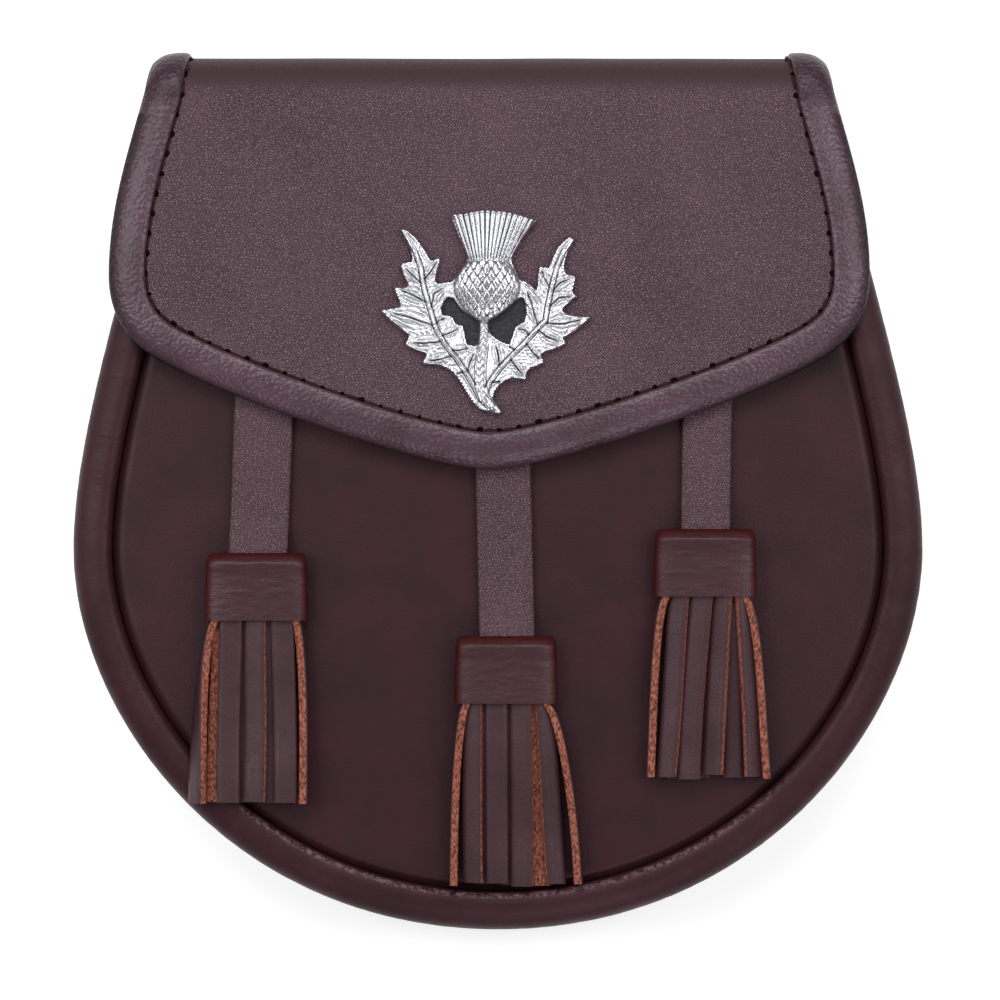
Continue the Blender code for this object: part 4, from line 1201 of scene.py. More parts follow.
for side in TASSEL_SIDES:
    cap_low, cap_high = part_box(f"tassel_cap_{side}")
    cap_x = (cap_low.x + cap_high.x) / 2 + STRAP_FEET[side] / 2
    cap_z = (cap_low.z + cap_high.z) / 2
    cap_height = cap_high.y - cap_low.y

    def cap_place(around, down):
        """A point of the sleeve's outer skin, from its turned-in top to its open foot."""
        depth = cap_height * down ** 1.5
        closing = 1 - min(depth / CAP_END_ROUND, 1.0)
        round_off = math.sqrt(max(1 - closing ** 2, 0.0))
        half_width = CAP_WIDTH / 2 + 0.3 * MM - CAP_TURNED_IN * (1 - round_off) + CAP_FLARE * down
        ridge = math.exp(-((depth - 2.4 * MM) / ((0.6 if depth < 2.4 * MM else 2.0) * MM)) ** 2)
        full = (cap_high.z - cap_low.z) / 2 - 0.45 * MM + CAP_RIDGE * ridge
        half_thickness = full * (0.45 + 0.55 * round_off)
        across, rise = squircle(2 * math.pi * around, 4.6)
        across = math.copysign(abs(across) ** 1.15, across)
        where = Vector((across * half_width * 0.35, cap_high.y - depth, rise * 0.002 + cap_x)) * per_mm(1.5)
        crease = (abs(noise.noise(where)) - 0.2) * 0.16 * MM * round_off
        x = cap_x + across * half_width
        return Vector((x, cap_high.y - depth, cap_z + rise * (half_thickness + crease)))

    cap = shaped_grid(f"sleeve_{side}", 96, 56, cap_place)
    sew_up(cap)
    apply_modifier(cap, "SOLIDIFY", thickness=CAP_SKIN, offset=-1.0)

    def cap_shade(point):
        """Painted shade: darker where the sleeve turns down, away from the light, at its sides and its top.
        """
        flank = smooth((abs(point.x - cap_x) - CAP_WIDTH / 2 + 1.6 * MM) / (1.6 * MM))
        crown = smooth((point.y - cap_high.y + 2.2 * MM) / (0.8 * MM))
        return 0.8 * max(flank, crown)

    # painted shade on the sleeve's turned-down sides and top
    mark(cap, "painted_shade", cap_shade)
    finish_piece(cap, "sleeve_leather", [sleeve_leather], f"tassel_cap_{side}")

# %% [markdown]
# ## Tassel strips
# A tassel is a piece of leather slit into strips and rolled up, so the outer strips stand on edge and
# show their tan cut sides and flesh. Each row of the table is one strip, with where it leaves the
# sleeve and where its tip lies, in millimetres from the sleeve's middle, then its width, how far it is
# turned on edge in degrees, and how far it lies above the pouch.

# %% Strips
# for each strip: top, tip, width, degrees on edge, lift, and whether its flesh side faces up
TASSEL_STRIPS = {
    "left": [
        (-9.3, -13.3, 4.6, 50, 0.4, False),
        (-5.5, -6.1, 5.2, 0, 1.9, False),
        (0.0, -0.2, 5.1, 20, 1.9, False),
        (6.3, 7.1, 5.3, 4, 1.9, False),
        (9.6, 11.3, 4.8, -86, 0.2, False),
        (-7.2, -8.8, 5.0, 0, 0.0, True),
        (3.0, 3.4, 4.6, 0, 0.0, False),
        (-3.0, -3.4, 4.6, 0, 0.0, False),
    ],
    "centre": [
        (-9.1, -12.0, 4.8, 88, 0.2, False),
        (-7.5, -7.4, 4.4, 22, 1.8, False),
        (-2.0, -1.8, 5.0, 0, 1.9, False),
        (3.6, 3.9, 4.9, 14, 1.9, False),
        (8.9, 11.7, 4.4, -20, 1.7, False),
        (9.5, 16.9, 4.8, -86, 0.2, False),
        (6.2, 8.0, 4.8, 0, 0.0, True),
        (-4.9, -4.9, 4.6, 0, 0.0, False),
        (0.8, 1.2, 4.6, 0, 0.0, False),
    ],
    "right": [
        (-9.0, -12.5, 4.8, 88, 0.2, False),
        (-5.8, -8.8, 4.6, 20, 1.9, False),
        (-0.6, -3.6, 5.0, 14, 1.9, False),
        (4.1, 2.0, 4.7, 30, 1.8, False),
        (9.2, 11.4, 4.5, -30, 1.7, False),
        (9.4, 14.5, 4.8, -86, 0.2, False),
        (6.6, 6.7, 4.6, 0, 0.0, False),
        (-3.2, -6.2, 4.6, 0, 0.0, False),
        (1.8, -0.8, 4.6, 0, 0.0, False),
    ],
}
STRIP_THICKNESS = 1.9 * MM
STRIP_HEAD = 6.0 * MM
ON_EDGE_OVER = 30
ON_EDGE_IN_SLEEVE = 84


def rest_height(x, y):
    """The height on which something lies, on the front panel or on the roll."""
    here = Vector((x, y))
    gap = min((point - here).length for point in outline[::3])
    height = panel_top(x, y)
    if gap < ROLL_DIAMETER:
        height = max(height, ROLL_AXIS_Z + math.sqrt(max(ROLL_RADIUS ** 2 - (gap - ROLL_RADIUS) ** 2, 0.0)))
    return height


for side in TASSEL_SIDES:
    cap_low, cap_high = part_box(f"tassel_cap_{side}")
    fringe_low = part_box(f"tassel_fringe_{side}")[0]
    chance = random.Random(len(side))
    edge_tips = [tip for _, tip, _, turn, _, _ in TASSEL_STRIPS[side] if abs(turn) > ON_EDGE_OVER]
    strips = []
    for number, (top, tip, width, turn, lift, flesh_up) in enumerate(TASSEL_STRIPS[side]):
        cap_x = (cap_low.x + cap_high.x) / 2
        near = panel_top(cap_x, cap_low.y)
        far = max(rest_height(cap_x + edge_tip * MM, fringe_low.y) for edge_tip in edge_tips)
        length = cap_low.y - fringe_low.y - abs(chance.gauss(0.0, 0.5)) * MM
        curl = chance.uniform(-0.5, 0.5) * MM
        half_edge = abs(math.sin(math.radians(turn))) * width * MM / 2

        def strip_station(along):
            """A strip's centre and directions, from inside the sleeve to its tip."""
            run = along * (length + STRIP_HEAD) - STRIP_HEAD
            share = max(run / length, 0.0)
            spread = share ** (0.62 if abs(turn) > ON_EDGE_OVER else 0.9)
            bow = 0.7 * MM * math.sin(math.pi * spread) * math.copysign(abs(turn) > ON_EDGE_OVER, tip)
            x = cap_x + (top + (tip - top) * spread) * MM + bow + curl * math.sin(math.pi * share) * share
            y = cap_low.y - run
            on_edge = math.copysign(ON_EDGE_IN_SLEEVE, turn) if abs(turn) > ON_EDGE_OVER else turn
            lean = math.radians(on_edge + (turn - on_edge) * smooth(share))
            head = cap_low.z + 1.5 * MM + STRIP_THICKNESS / 2 + lift * 0.75 * MM
            if abs(turn) > ON_EDGE_OVER:
                head = (cap_low.z + cap_high.z) / 2 - 0.3 * MM
            own = rest_height(cap_x + tip * MM, y)
            bed = max(own, near + (far - near) * smooth(share)) + 0.25 * MM + STRIP_THICKNESS / 2 + lift * MM
            rest = bed + half_edge * 0.8
            return Vector((x, y, head + (rest - head) * smooth(share * 1.3))), *tilted(lean)

        full = length + STRIP_HEAD
        strips.append(
            ribbon("strip", 40, full, width * MM, STRIP_THICKNESS, strip_station, strip_leather, flesh_up)
        )
    deselect_all()
    for strip in strips:
        strip.select_set(True)
    bpy.context.view_layer.objects.active = strips[0]
    bpy.ops.object.join()
    strips[0].name = f"fringe_{side}"
    finish_piece(strips[0], "cut_leather", [], f"tassel_fringe_{side}", angle=60)

# %% [markdown]
# ## Belt loops
# Two strips are sewn to the back. Each stands off in the middle, where the belt strap passes. Their
# paths follow the solids: two sewn tabs, two short ramps and a flat bridge.

# %% Belt loops
# points of the path as shares of the length and of the drop from the back to the table
LOOP_PATH = [(-0.5, 0.0), (-0.32, 0.0), (-0.29, 0.12), (-0.22, 0.88), (-0.19, 1.0)]
LOOP_PATH += [(-along, drop) for along, drop in reversed(LOOP_PATH)]
LOOP_THICKNESS = 1.6 * MM
LOOP_STITCH_PITCH = 3.6 * MM
LOOP_SEAMS = (-0.45, -0.36, 0.36, 0.45)

for side in ("left", "right"):
    loop_low, loop_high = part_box(f"belt_loop_{side}")
    loop_x = (loop_low.x + loop_high.x) / 2
    loop_y = (loop_low.y + loop_high.y) / 2
    loop_length = loop_high.y - loop_low.y

    def loop_station(along):
        """The loop's centre and directions at a share of its length."""
        share = along - 0.5
        drop = LOOP_PATH[-1][1]
        for start, end in zip(LOOP_PATH, LOOP_PATH[1:]):
            if start[0] <= share <= end[0]:
                drop = start[1] + (end[1] - start[1]) * (share - start[0]) / (end[0] - start[0])
        y = loop_y + loop_length * share
        sewn = back_underside(y) - GAP - LOOP_THICKNESS / 2
        lying = LOOP_THICKNESS / 2 + 0.1 * MM
        return Vector((loop_x, y, sewn + (lying - sewn) * smooth(drop))), *tilted(math.pi)

    loop_width = loop_high.x - loop_low.x
    name = f"belt_loop_leather_{side}"
    loop = ribbon(name, 80, loop_length, loop_width, LOOP_THICKNESS, loop_station, strap_leather)
    finish_piece(loop, "strap_leather", [], f"belt_loop_{side}", angle=60)
    rows = []
    for end in LOOP_SEAMS:
        y = loop_y + loop_length * end
        z = back_underside(y) - GAP - LOOP_THICKNESS
        normal = Vector((0.0, -BACK_SLOPE, -1.0)).normalized()
        for step in range(5):
            x = loop_x + (step - 2) * LOOP_STITCH_PITCH
            rows.append(surface_matrix(Vector((x, y, z)), Vector((1.0, 0.0, 0.0)), normal))
    stitches = join_copies(f"loop_stitches_{side}", thread_model(2.8 * MM, 0.3 * MM), rows)
    finish_piece(stitches, "strap_leather", [thread])

# %% [markdown]
# ## Thistle badge
# The badge is cast in one piece from a carved pattern: a thistle head with its crown of florets, two
# thorny leaves and a stem. Its outline is drawn on a grid of third-of-a-millimetre squares, counted
# across from the left and down from the top. The flat is filled with fine triangles that follow the
# outline, and then every point is raised by a height function, as an engraver would carve the pattern.

# %% Badge drawing
from mathutils.geometry import delaunay_2d_cdt
import numpy

BADGE_SQUARE = 0.336 * MM
BADGE_MIDDLE = (77.25, 77.4)
BADGE_GRID = 160
BADGE_OUTLINE = [
    (53.3, 12.0), (56.0, 11.2), (58.0, 11.4), (60.0, 10.9), (62.0, 10.9), (66.0, 10.1), (70.0, 9.3),
    (74.0, 8.6), (78.0, 8.5), (82.0, 8.8), (86.0, 9.1), (90.0, 9.4), (94.0, 10.1), (98.0, 11.1),
    (102.0, 12.3), (106.0, 13.7), (112.2, 15.7), (107.8, 21.5), (103.0, 27.5), (99.5, 33.5), (96.5, 38.5),
    (95.4, 41.5), (95.8, 45.0), (97.5, 49.0), (99.3, 53.0), (100.3, 55.8), (103.5, 56.8), (107.0, 58.6),
    (109.5, 61.2), (111.3, 63.0), (112.2, 60.0), (112.6, 55.0), (113.0, 50.0), (113.6, 46.8), (116.0, 47.2),
    (120.0, 47.5), (121.5, 44.0), (123.5, 39.0), (126.0, 34.0), (130.0, 29.8), (134.5, 26.3), (136.5, 28.0),
    (138.5, 28.8), (136.5, 31.5), (134.0, 36.0), (132.3, 41.0), (131.3, 46.0), (131.5, 50.0), (132.8, 52.3),
    (136.0, 52.8), (139.0, 54.0), (138.6, 57.0), (137.8, 60.5), (136.8, 63.6), (138.0, 66.0), (140.6, 67.8),
    (137.5, 69.3), (134.0, 72.0), (131.0, 75.3), (130.0, 77.2), (132.5, 79.3), (137.0, 80.6), (142.0, 81.2),
    (149.5, 81.3), (147.0, 84.0), (143.0, 87.6), (138.0, 91.3), (133.0, 94.6), (130.6, 96.3), (131.8, 98.0),
    (132.0, 100.3), (128.5, 102.2), (123.0, 104.3), (117.5, 106.0), (115.3, 107.8), (116.5, 110.0),
    (117.2, 113.0), (113.0, 115.2), (108.0, 117.0), (105.6, 119.3), (105.3, 122.5), (104.5, 125.2),
    (100.0, 124.3), (95.0, 123.7), (91.0, 125.3), (87.0, 128.5), (83.8, 132.5), (82.6, 137.0),
    (84.5, 140.5), (87.0, 144.0), (88.6, 146.8), (86.5, 148.3), (82.0, 147.6), (77.0, 146.0), (72.5, 144.8),
    (70.0, 142.5), (67.0, 138.5), (63.5, 133.0), (60.0, 127.0), (56.8, 122.5), (53.0, 118.6), (48.0, 115.8),
    (42.0, 114.4), (36.0, 114.3), (33.0, 113.2), (35.0, 110.2), (36.3, 107.5), (34.0, 106.0), (29.0, 104.2),
    (24.0, 102.4), (21.8, 100.4), (23.2, 97.5), (24.3, 94.6), (22.0, 92.2), (17.0, 88.3), (12.0, 84.3),
    (8.0, 80.5), (5.0, 76.6), (9.0, 76.3), (14.0, 75.2), (18.8, 74.0), (17.8, 70.5), (16.0, 66.5),
    (14.3, 62.8), (16.2, 60.8), (20.0, 61.8), (23.0, 61.0), (24.2, 59.6), (22.3, 56.0), (20.3, 51.5),
    (18.8, 46.5), (20.5, 44.5), (24.0, 44.0), (26.5, 43.3), (26.8, 40.0), (25.8, 35.5), (23.5, 30.5),
    (20.5, 25.5), (18.8, 22.3), (21.0, 21.3), (24.5, 22.8), (28.5, 26.0), (32.5, 30.8), (36.0, 36.0),
    (38.8, 40.8), (40.3, 42.8), (43.0, 41.8), (46.6, 40.3), (46.0, 44.5), (44.8, 49.0), (43.6, 53.5),
    (43.2, 57.0), (45.2, 58.8), (49.0, 57.6), (53.5, 57.3), (56.0, 55.3), (58.0, 51.5), (61.0, 48.0),
    (63.5, 44.3), (64.8, 41.2), (63.0, 37.0), (60.5, 31.0), (57.3, 23.5), (55.0, 17.4),
]
BADGE_PIERCINGS = [
    [
        (51.5, 68.5), (55.0, 69.2), (57.5, 73.0), (60.5, 76.8), (65.0, 80.2), (70.0, 83.3), (72.6, 85.5),
        (72.8, 90.0), (72.5, 95.5), (71.8, 100.0), (69.0, 101.0), (65.0, 99.8), (63.8, 96.0), (63.0, 91.0),
        (61.8, 87.0), (58.5, 86.5), (56.5, 85.0), (55.0, 81.5), (52.0, 80.3), (48.0, 79.8), (47.3, 76.5),
        (48.6, 72.0),
    ],
    [
        (79.5, 84.5), (84.0, 82.0), (90.0, 77.8), (96.0, 72.5), (100.5, 69.0), (103.0, 69.5), (104.3, 74.0),
        (104.5, 79.0), (103.4, 84.5), (100.0, 86.0), (97.0, 88.2), (95.7, 92.0), (94.4, 96.5), (92.6, 99.8),
        (88.0, 98.0), (84.0, 95.5), (80.5, 92.5), (79.3, 88.0),
    ],
]
LEAF_RIBS = [
    [(21.0, 24.0), (28.5, 36.0), (33.0, 48.0), (34.5, 59.0), (36.5, 67.0), (39.5, 77.0), (43.5, 90.0),
     (49.5, 100.5), (57.0, 109.5), (64.5, 121.0), (70.0, 130.5), (74.0, 138.5)],
    [(137.0, 28.7), (130.5, 37.0), (126.0, 47.0), (122.5, 60.0), (119.5, 74.0), (117.8, 84.5), (112.0, 90.0),
     (104.0, 99.0), (95.0, 108.0), (87.0, 116.5), (80.0, 126.0), (77.0, 134.0)],
]
LEAF_VEINS = [
    [(34.0, 59.5), (28.0, 54.0), (20.5, 46.5)], [(38.0, 72.5), (28.0, 67.0), (16.0, 62.3)],
    [(42.5, 88.0), (27.0, 82.5), (8.0, 77.5)], [(47.5, 98.5), (36.0, 99.5), (24.0, 99.6)],
    [(55.0, 108.0), (46.0, 110.5), (35.5, 112.3)], [(34.8, 57.0), (39.5, 51.0), (45.0, 42.5)],
    [(39.5, 78.0), (42.0, 66.0), (51.0, 60.0)], [(42.5, 88.0), (45.5, 84.0), (51.0, 82.5)],
    [(46.5, 95.0), (53.0, 92.5), (60.5, 88.8)], [(52.5, 104.5), (59.0, 104.5), (67.5, 102.6)],
    [(64.5, 121.0), (66.5, 112.0), (70.5, 104.5)], [(64.0, 120.0), (60.5, 119.5), (56.0, 120.5)],
    [(119.5, 76.0), (127.0, 68.5), (138.5, 67.6)], [(121.0, 66.0), (128.0, 58.5), (137.5, 54.6)],
    [(116.5, 86.0), (130.0, 86.5), (147.0, 82.4)], [(112.0, 90.0), (120.0, 96.0), (130.6, 99.6)],
    [(104.0, 99.0), (109.5, 106.0), (116.0, 112.2)], [(93.5, 110.0), (99.0, 117.0), (104.2, 124.0)],
    [(121.5, 63.0), (117.5, 56.0), (114.6, 48.6)], [(113.0, 89.0), (108.5, 73.0), (104.0, 60.5)],
    [(107.5, 95.0), (103.5, 90.5), (97.5, 89.5)], [(98.0, 105.0), (94.5, 102.5), (92.5, 101.0)],
    [(86.5, 117.0), (86.0, 108.0), (83.0, 98.0)], [(80.5, 126.5), (84.0, 126.0), (88.5, 126.0)],
]
STEM_LINE = [
    (75.8, 82.0), (76.0, 92.0), (75.0, 104.0), (73.6, 116.0), (73.5, 128.0), (77.0, 138.0), (86.0, 146.5),
]
# the thistle's head and the fan of florets above it, whose angles are in degrees from straight up
BULB_MIDDLE = (78.0, 62.0)
BULB_HALF_SIZE = (22.3, 24.0)
CROWN_ORIGIN = (76.7, 72.9)
CROWN_ANGLES = (-20.5, 30.8)
CROWN_FLORETS = 15
CROWN_SIDES = (50.0, 112.0)
print(len(BADGE_OUTLINE), "outline points,", len(LEAF_VEINS), "veins")

# %% [markdown]
# ### Distances to the drawing
# Each part of the relief depends on how far a point lies from a line of the drawing, so one function
# gives the distance from many points to a polyline. Sizes below are in grid squares, like the drawing.

# %% Relief of the badge
def line_distance(points, line, closed=False):
    """The distance from each point to a polyline, and the share of the line where it is nearest."""
    line = numpy.array(line + [line[0]] if closed else line)
    nearest = numpy.full(len(points), 1e9)
    share = numpy.zeros(len(points))
    count = len(line) - 1
    for index in range(count):
        start, step = line[index], line[index + 1] - line[index]
        part = numpy.clip(((points - start) @ step) / (step @ step), 0, 1)
        distance = numpy.linalg.norm(points - start - part[:, None] * step, axis=1)
        closer = distance < nearest
        nearest[closer] = distance[closer]
        share[closer] = (index + part[closer]) / count
    return nearest, share


def trough(distance, width):
    """A groove of a width, 1 in its middle and 0 outside."""
    return numpy.exp(-(distance / width) ** 2)


def ease(value):
    """An ease from 0 to 1 for many values."""
    value = numpy.clip(value, 0, 1)
    return value * value * (3 - 2 * value)


def bulb_relief(points, base, hollow):
    """The thistle's head: a dome of overlapping scales."""
    across = (points[:, 0] - BULB_MIDDLE[0]) / BULB_HALF_SIZE[0]
    down = (points[:, 1] - BULB_MIDDLE[1]) / BULB_HALF_SIZE[1]
    egg = across / (1 - 0.18 * numpy.clip(down, -1, 1) ** 2 - 0.10 * numpy.clip(down, 0, 1))
    reach = egg ** 2 + down ** 2
    dome = numpy.sqrt(numpy.clip(1 - reach, 0, 1))
    wrap = numpy.arcsin(numpy.clip(egg, -1, 1)) * 1.25
    up = 0.35 * wrap ** 2 - down * 5.2 + 20
    height = 2.2 + 8.6 * dome
    groove = numpy.zeros(len(points))
    open_yet = numpy.ones(len(points), bool)
    for back in (1, 0):
        row = numpy.floor(up) - back
        grown = (up - row) / 2
        column = wrap * 2.7 + 0.5 * (row % 2)
        off_centre = numpy.abs(column - numpy.round(column)) * 2
        margin = 1.02 * (1 - grown ** 2.2) - off_centre
        chosen = open_yet & ((margin > 0) if back else True)
        scale = ease(margin / 0.5)
        height = numpy.where(chosen, 2.2 + 8.6 * dome + (0.5 + 1.5 * grown) * scale, height)
        groove = numpy.where(chosen, 1 - scale, groove)
        open_yet &= ~chosen
    inside = ease((1 - reach) / 0.10)
    ring = trough(reach - 1.0, 0.10)
    base = base * (1 - inside) + (base * 0.2 + height) * inside
    hollow = hollow * (1 - inside) + 0.95 * groove ** 1.3 * inside
    return base, numpy.maximum(hollow, 0.8 * ring)


def crown_relief(points, base, hollow):
    """The florets above the head: a fan of ridges that part at their tips."""
    across = points[:, 0] - CROWN_ORIGIN[0]
    up = CROWN_ORIGIN[1] - points[:, 1]
    angle = numpy.degrees(numpy.arctan2(across, up))
    number = (angle - CROWN_ANGLES[0]) / (CROWN_ANGLES[1] - CROWN_ANGLES[0]) * CROWN_FLORETS
    part = number - numpy.floor(number)
    ridge = numpy.sin(numpy.pi * part) ** 0.7
    reach = numpy.hypot(across, up)
    deep = 0.6 + 0.4 * numpy.sin(numpy.floor(number + 0.5) * 2.4) ** 2
    side = numpy.abs(number / CROWN_FLORETS - 0.5) * 2
    height = 4.6 + 2.8 * ridge - 2.2 * side ** 2 + 0.9 * ease((reach - 46) / 20)
    above = ease((44.5 - points[:, 1]) / 4.0)
    inside = above * (points[:, 0] > CROWN_SIDES[0]) * (points[:, 0] < CROWN_SIDES[1])
    base = base * (1 - inside) + (base * 0.25 + height) * inside
    shade = ease((0.72 - ridge) / 0.5) * deep + 0.35 * ease((38 - reach) / 10)
    return base, hollow * (1 - inside) + shade * inside


def badge_relief(points):
    """Heights in grid squares above the leather, and how hollow each point is from 0 to 1."""
    rim = line_distance(points, BADGE_OUTLINE, closed=True)[0]
    for piercing in BADGE_PIERCINGS:
        rim = numpy.minimum(rim, line_distance(points, piercing, closed=True)[0])
    rounded = numpy.sqrt(1 - (1 - numpy.clip(rim / 1.6, 0, 1)) ** 2)
    base = 3.2 + 1.9 * rounded - 0.9 * trough(rim - 2.9, 0.9)
    hollow = 0.55 * trough(rim - 3.0, 0.75)
    for vein in LEAF_VEINS:
        length = sum(math.dist(start, end) for start, end in zip(vein, vein[1:]))
        distance, share = line_distance(points, vein)
        fade = ease(share / 0.08) * ease((1.02 - share) / 0.25)
        base += 1.3 * trough(distance, 2.4) * fade - 2.0 * trough(distance, 0.75) * fade
        hollow = numpy.maximum(hollow, 0.95 * trough(distance, 0.70) * fade)
        belly = numpy.sin(math.pi * numpy.clip(share, 0, 1)) * length * 0.11
        for offset in (1.0, 1.9):
            line = numpy.abs(distance - belly * offset)
            base -= 0.8 * trough(line, 0.65) * fade * (belly > 0.9)
            hollow = numpy.maximum(hollow, 0.7 * trough(line, 0.6) * fade * (belly > 0.9))
    for rib, side in zip(LEAF_RIBS, (points[:, 0] < BADGE_MIDDLE[0], points[:, 0] >= BADGE_MIDDLE[0])):
        distance, share = line_distance(points, rib)
        fade = ease(share / 0.12)
        length = sum(math.dist(start, end) for start, end in zip(rib, rib[1:]))
        slant = (share * length + 0.8 * distance) / 2.7
        scratch = trough(slant - numpy.round(slant), 0.2) * ease((distance - 2.5) / 2) * side
        base -= 0.5 * scratch
        hollow = numpy.maximum(hollow, 0.5 * scratch * ease((rim - 1.2) / 1.2))
        base += (1.5 * numpy.exp(-(distance / 1.15) ** 4) - 1.2 * trough(distance - 1.75, 0.5)) * fade
        hollow = numpy.maximum(
            hollow * (1 - trough(distance, 1.1) * fade), 0.9 * trough(distance - 1.75, 0.5) * fade
        )
    distance, share = line_distance(points, STEM_LINE)
    body = numpy.sqrt(numpy.clip(1 - (distance / 3.4) ** 2, 0, 1))
    inside = ease((3.4 - distance) / 0.9)
    knots = numpy.sin(share * 95 + 2.2 * numpy.sin(points[:, 0] * 1.1)) * 0.5 + 0.5
    base = base * (1 - inside) + (4.0 + 2.6 * body + 0.7 * knots) * inside
    hollow = hollow * (1 - inside) + 0.7 * (1 - knots) ** 1.5 * inside
    hollow = numpy.maximum(hollow, 0.9 * trough(distance - 3.9, 0.6) * (points[:, 1] > 100))
    base, hollow = bulb_relief(points, base, hollow)
    base, hollow = crown_relief(points, base, hollow)
    edge = numpy.sqrt(1 - (1 - numpy.clip(rim / 1.3, 0, 1)) ** 2)
    return 2.4 + (base - 2.4) * (0.35 + 0.65 * edge), hollow


print("relief functions ready")

# %% [markdown]
# ### Filling the outline
# Points on a fine staggered grid are added inside the outline, and a constrained Delaunay fill joins them
# into triangles that stop exactly at the outline and the piercings. Walls then go down to the leather and a
# thin floor closes the underside. The hollows are stored in a shine attribute, which the metal reads to place
# its dark patina. The walls' feet and the floor are given a low shine of their own as painted shade: the
# walls darken towards the leather, and the floor shows smooth and dark in the piercings, where the leather
# behind lies in shade.

# %% Badge mesh
def inside_line(points, line):
    """Which points lie inside a closed line."""
    line = numpy.array(line)
    inside = numpy.zeros(len(points), bool)
    for start, end in zip(line, numpy.roll(line, -1, axis=0)):
        crosses = (start[1] > points[:, 1]) != (end[1] > points[:, 1])
        rise = end[1] - start[1] if end[1] != start[1] else 1e-9
        at = start[0] + (points[:, 1] - start[1]) / rise * (end[0] - start[0])
        inside ^= crosses & (points[:, 0] < at)
    return inside


def refined(line, step):
    """A closed line with points at most a step apart."""
    fine = []
    for start, end in zip(line, line[1:] + [line[0]]):
        pieces = max(round(math.dist(start, end) / step), 1)
        for piece in range(pieces):
            share = piece / pieces
            fine.append((start[0] + (end[0] - start[0]) * share, start[1] + (end[1] - start[1]) * share))
    return fine


# the height of an even-sided triangle with sides of one, which sets the rows of the staggered grid
TRIANGLE_HEIGHT = 0.87


def badge_points(spacing):
    """Staggered grid points well inside the badge's metal."""
    rows = []
    for row in range(int(BADGE_GRID / (spacing * TRIANGLE_HEIGHT))):
        for column in range(int(BADGE_GRID / spacing)):
            rows.append(((column + 0.5 * (row % 2)) * spacing, row * spacing * TRIANGLE_HEIGHT))
    points = numpy.array(rows)
    points = points[inside_line(points, BADGE_OUTLINE)]
    for piercing in BADGE_PIERCINGS:
        points = points[~inside_line(points, piercing)]
        points = points[line_distance(points, piercing, closed=True)[0] > spacing * 0.6]
    return points[line_distance(points, BADGE_OUTLINE, closed=True)[0] > spacing * 0.6]


BADGE_SPACING = 0.52
# painted shade: how bright the underside is, at its rim, where it darkens the walls' feet, and round the
# piercings, where it shows as their dark floor
WALL_FOOT_SHADE_SHINE = 0.17
PIERCING_FLOOR_SHADE_SHINE = 0.135
PIERCING_RIM = 0.5
loops = [refined(line, BADGE_SPACING * 1.6) for line in [BADGE_OUTLINE] + BADGE_PIERCINGS]
corners = [Vector(point) for line in loops for point in line]
edges = []
start = 0
for line in loops:
    edges += [(start + index, start + (index + 1) % len(line)) for index in range(len(line))]
    start += len(line)
corners += [Vector(point) for point in badge_points(BADGE_SPACING)]
flat, _, flat_faces = delaunay_2d_cdt(corners, edges, [], 0, 1e-5)[:3]
grid = numpy.array([(point.x, point.y) for point in flat])
middles = numpy.array([grid[list(face)].mean(axis=0) for face in flat_faces])
keep = inside_line(middles, BADGE_OUTLINE)
for piercing in BADGE_PIERCINGS:
    keep &= ~inside_line(middles, piercing)
rise, hollow = badge_relief(grid)

badge_centre = (badge_low + badge_high) / 2 - Vector((0.0, 0.4 * MM, 0.0))
top_room = (badge_high.z - badge_low.z) / BADGE_SQUARE
rise = rise * min(1.0, (top_room - 0.1) / rise.max())
places = []
for (across, down), up in zip(grid, rise):
    x = badge_centre.x + (across - BADGE_MIDDLE[0]) * BADGE_SQUARE
    y = badge_centre.y - (down - BADGE_MIDDLE[1]) * BADGE_SQUARE
    places.append((x, y, badge_low.z + up * BADGE_SQUARE))
mesh = bpy.data.meshes.new("thistle_badge")
mesh.from_pydata(places, [], [face for face, kept in zip(flat_faces, keep) if kept])
badge = bpy.data.objects.new("thistle_badge", mesh)
bpy.context.scene.collection.objects.link(badge)
shine = mesh.attributes.new("shine", "FLOAT", "POINT")
for value, dark in zip(shine.data, hollow):
    value.value = 1 - min(max(float(dark), 0.0), 1.0)
pick(badge)
bpy.ops.object.mode_set(mode="EDIT")
bpy.ops.mesh.select_all(action="SELECT")
bpy.ops.mesh.delete_loose()
bpy.ops.mesh.select_all(action="DESELECT")
bpy.ops.mesh.select_non_manifold()
bpy.ops.mesh.extrude_region_move()
bpy.ops.object.mode_set(mode="OBJECT")
for corner in mesh.vertices:
    if corner.select:
        corner.co.z = badge_low.z
foot = numpy.array([tuple(corner.co)[:2] for corner in mesh.vertices])
drawn = numpy.stack([
    (foot[:, 0] - badge_centre.x) / BADGE_SQUARE + BADGE_MIDDLE[0],
    BADGE_MIDDLE[1] - (foot[:, 1] - badge_centre.y) / BADGE_SQUARE,
], axis=1)
beside = numpy.min([line_distance(drawn, piercing, closed=True)[0] for piercing in BADGE_PIERCINGS], axis=0)
# painted shade: the walls' feet and the floor in the piercings get a low shine, so the metal shows dark there
for corner, value, gap in zip(mesh.vertices, mesh.attributes["shine"].data, beside):
    if corner.select:
        value.value = PIERCING_FLOOR_SHADE_SHINE if gap < PIERCING_RIM else WALL_FOOT_SHADE_SHINE
print(f"{int((beside < PIERCING_RIM).sum())} points stand round the piercings")
pick(badge)
bpy.ops.object.mode_set(mode="EDIT")
bpy.ops.mesh.fill()
bpy.ops.mesh.select_all(action="SELECT")
bpy.ops.mesh.normals_make_consistent(inside=False)
bpy.ops.object.mode_set(mode="OBJECT")
finish_piece(badge, "antiqued_metal", [silver], "badge", angle=60)

# %% [markdown]
# ## Press stud
# A press stud under the flap keeps it shut. It is plain turned metal, so its solid already has the
# right shape and only takes its plating.

# %% Stud
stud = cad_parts["flap_stud"]
stud.data.materials.clear()
stud.data.materials.append(stud_metal)
print("stud plated")

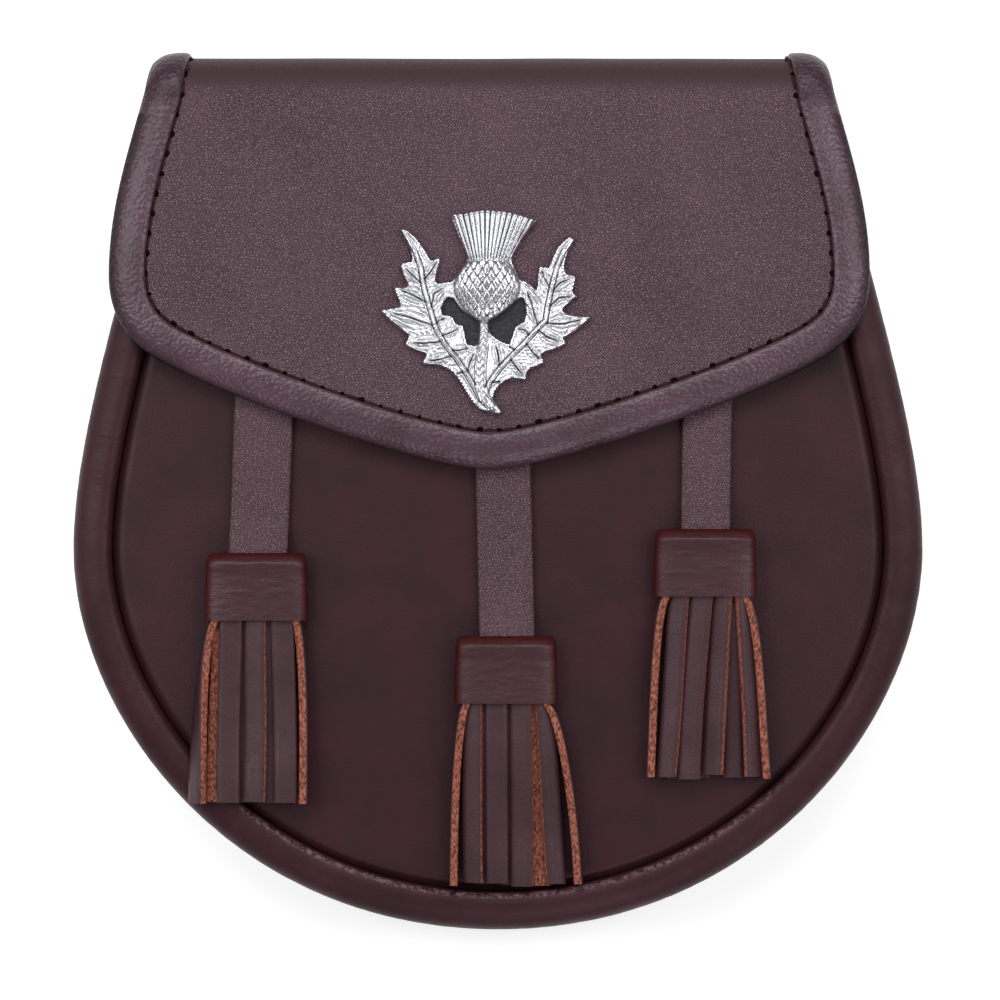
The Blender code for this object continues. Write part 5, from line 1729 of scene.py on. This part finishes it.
# %% [markdown]
# ## Light, floor and camera
# The pouch lies on a table of opal acrylic that is lit a little from below, so its shadow almost
# disappears. One large panel stands at the head of the pouch, weaker ones at its sides and its foot,
# and the walls around are white, so the leather shows broad, mild highlights. A long lens looks
# straight down from more than one and a half metres, which keeps the outline free of perspective.

# %% Studio
deselect_all()
bpy.ops.mesh.primitive_plane_add(size=6.0, location=(0.0, 0.0, -0.2 * MM))
floor = bpy.context.object
floor.name = "white_sweep"
sweep = plain_finish("opal_acrylic_table", "#f6f6f6", 0.9, grain=2.0)
shader_of(sweep).inputs["Emission Color"].default_value = colour("#ffffff")
shader_of(sweep).inputs["Emission Strength"].default_value = 0.42
floor.data.materials.append(sweep)
floor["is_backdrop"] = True

world = bpy.data.worlds.new("studio")
bpy.context.scene.world = world
world.use_nodes = True
world.node_tree.nodes["Background"].inputs["Color"].default_value = (1.0, 1.0, 1.0, 1.0)
world.node_tree.nodes["Background"].inputs["Strength"].default_value = 0.18
bpy.context.scene.view_settings.view_transform = "Standard"


def area_light(name, place, size, power):
    """A soft box aimed at the middle of the pouch."""
    data = bpy.data.lights.new(name, "AREA")
    data.shape = "RECTANGLE"
    data.size, data.size_y = size
    data.energy = power
    lamp = bpy.data.objects.new(name, data)
    lamp.location = place
    lamp.rotation_euler = (Vector((0.0, 0.0, 0.02)) - Vector(place)).to_track_quat("-Z", "Y").to_euler()
    bpy.context.scene.collection.objects.link(lamp)
    return lamp


area_light("head_panel", (-0.10, 0.70, 1.00), (1.2, 0.5), 9.0)
area_light("left_panel", (-0.75, 0.10, 0.90), (0.4, 1.0), 5.0)
area_light("right_panel", (0.75, 0.10, 0.90), (0.4, 1.0), 5.0)
area_light("foot_panel", (0.15, -0.85, 0.75), (1.0, 0.3), 3.0)

CAMERA_PLACE = (0.46 * MM, -2.07 * MM, 1632.5 * MM)
CAMERA_LENS = 250
CAMERA_SENSOR = 36
camera_data = bpy.data.cameras.new("camera")
camera_data.lens = CAMERA_LENS
camera_data.sensor_width = CAMERA_SENSOR
camera = bpy.data.objects.new("camera", camera_data)
camera.location = CAMERA_PLACE
bpy.context.scene.collection.objects.link(camera)
bpy.context.scene.camera = camera

# %% [markdown]
# ## Finish
# The sizes of the solids and of the finished model are gathered in one list.

# %% Sizes of the two models
corners = [[list(corner) for corner in box] for box in (cad_box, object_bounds())]
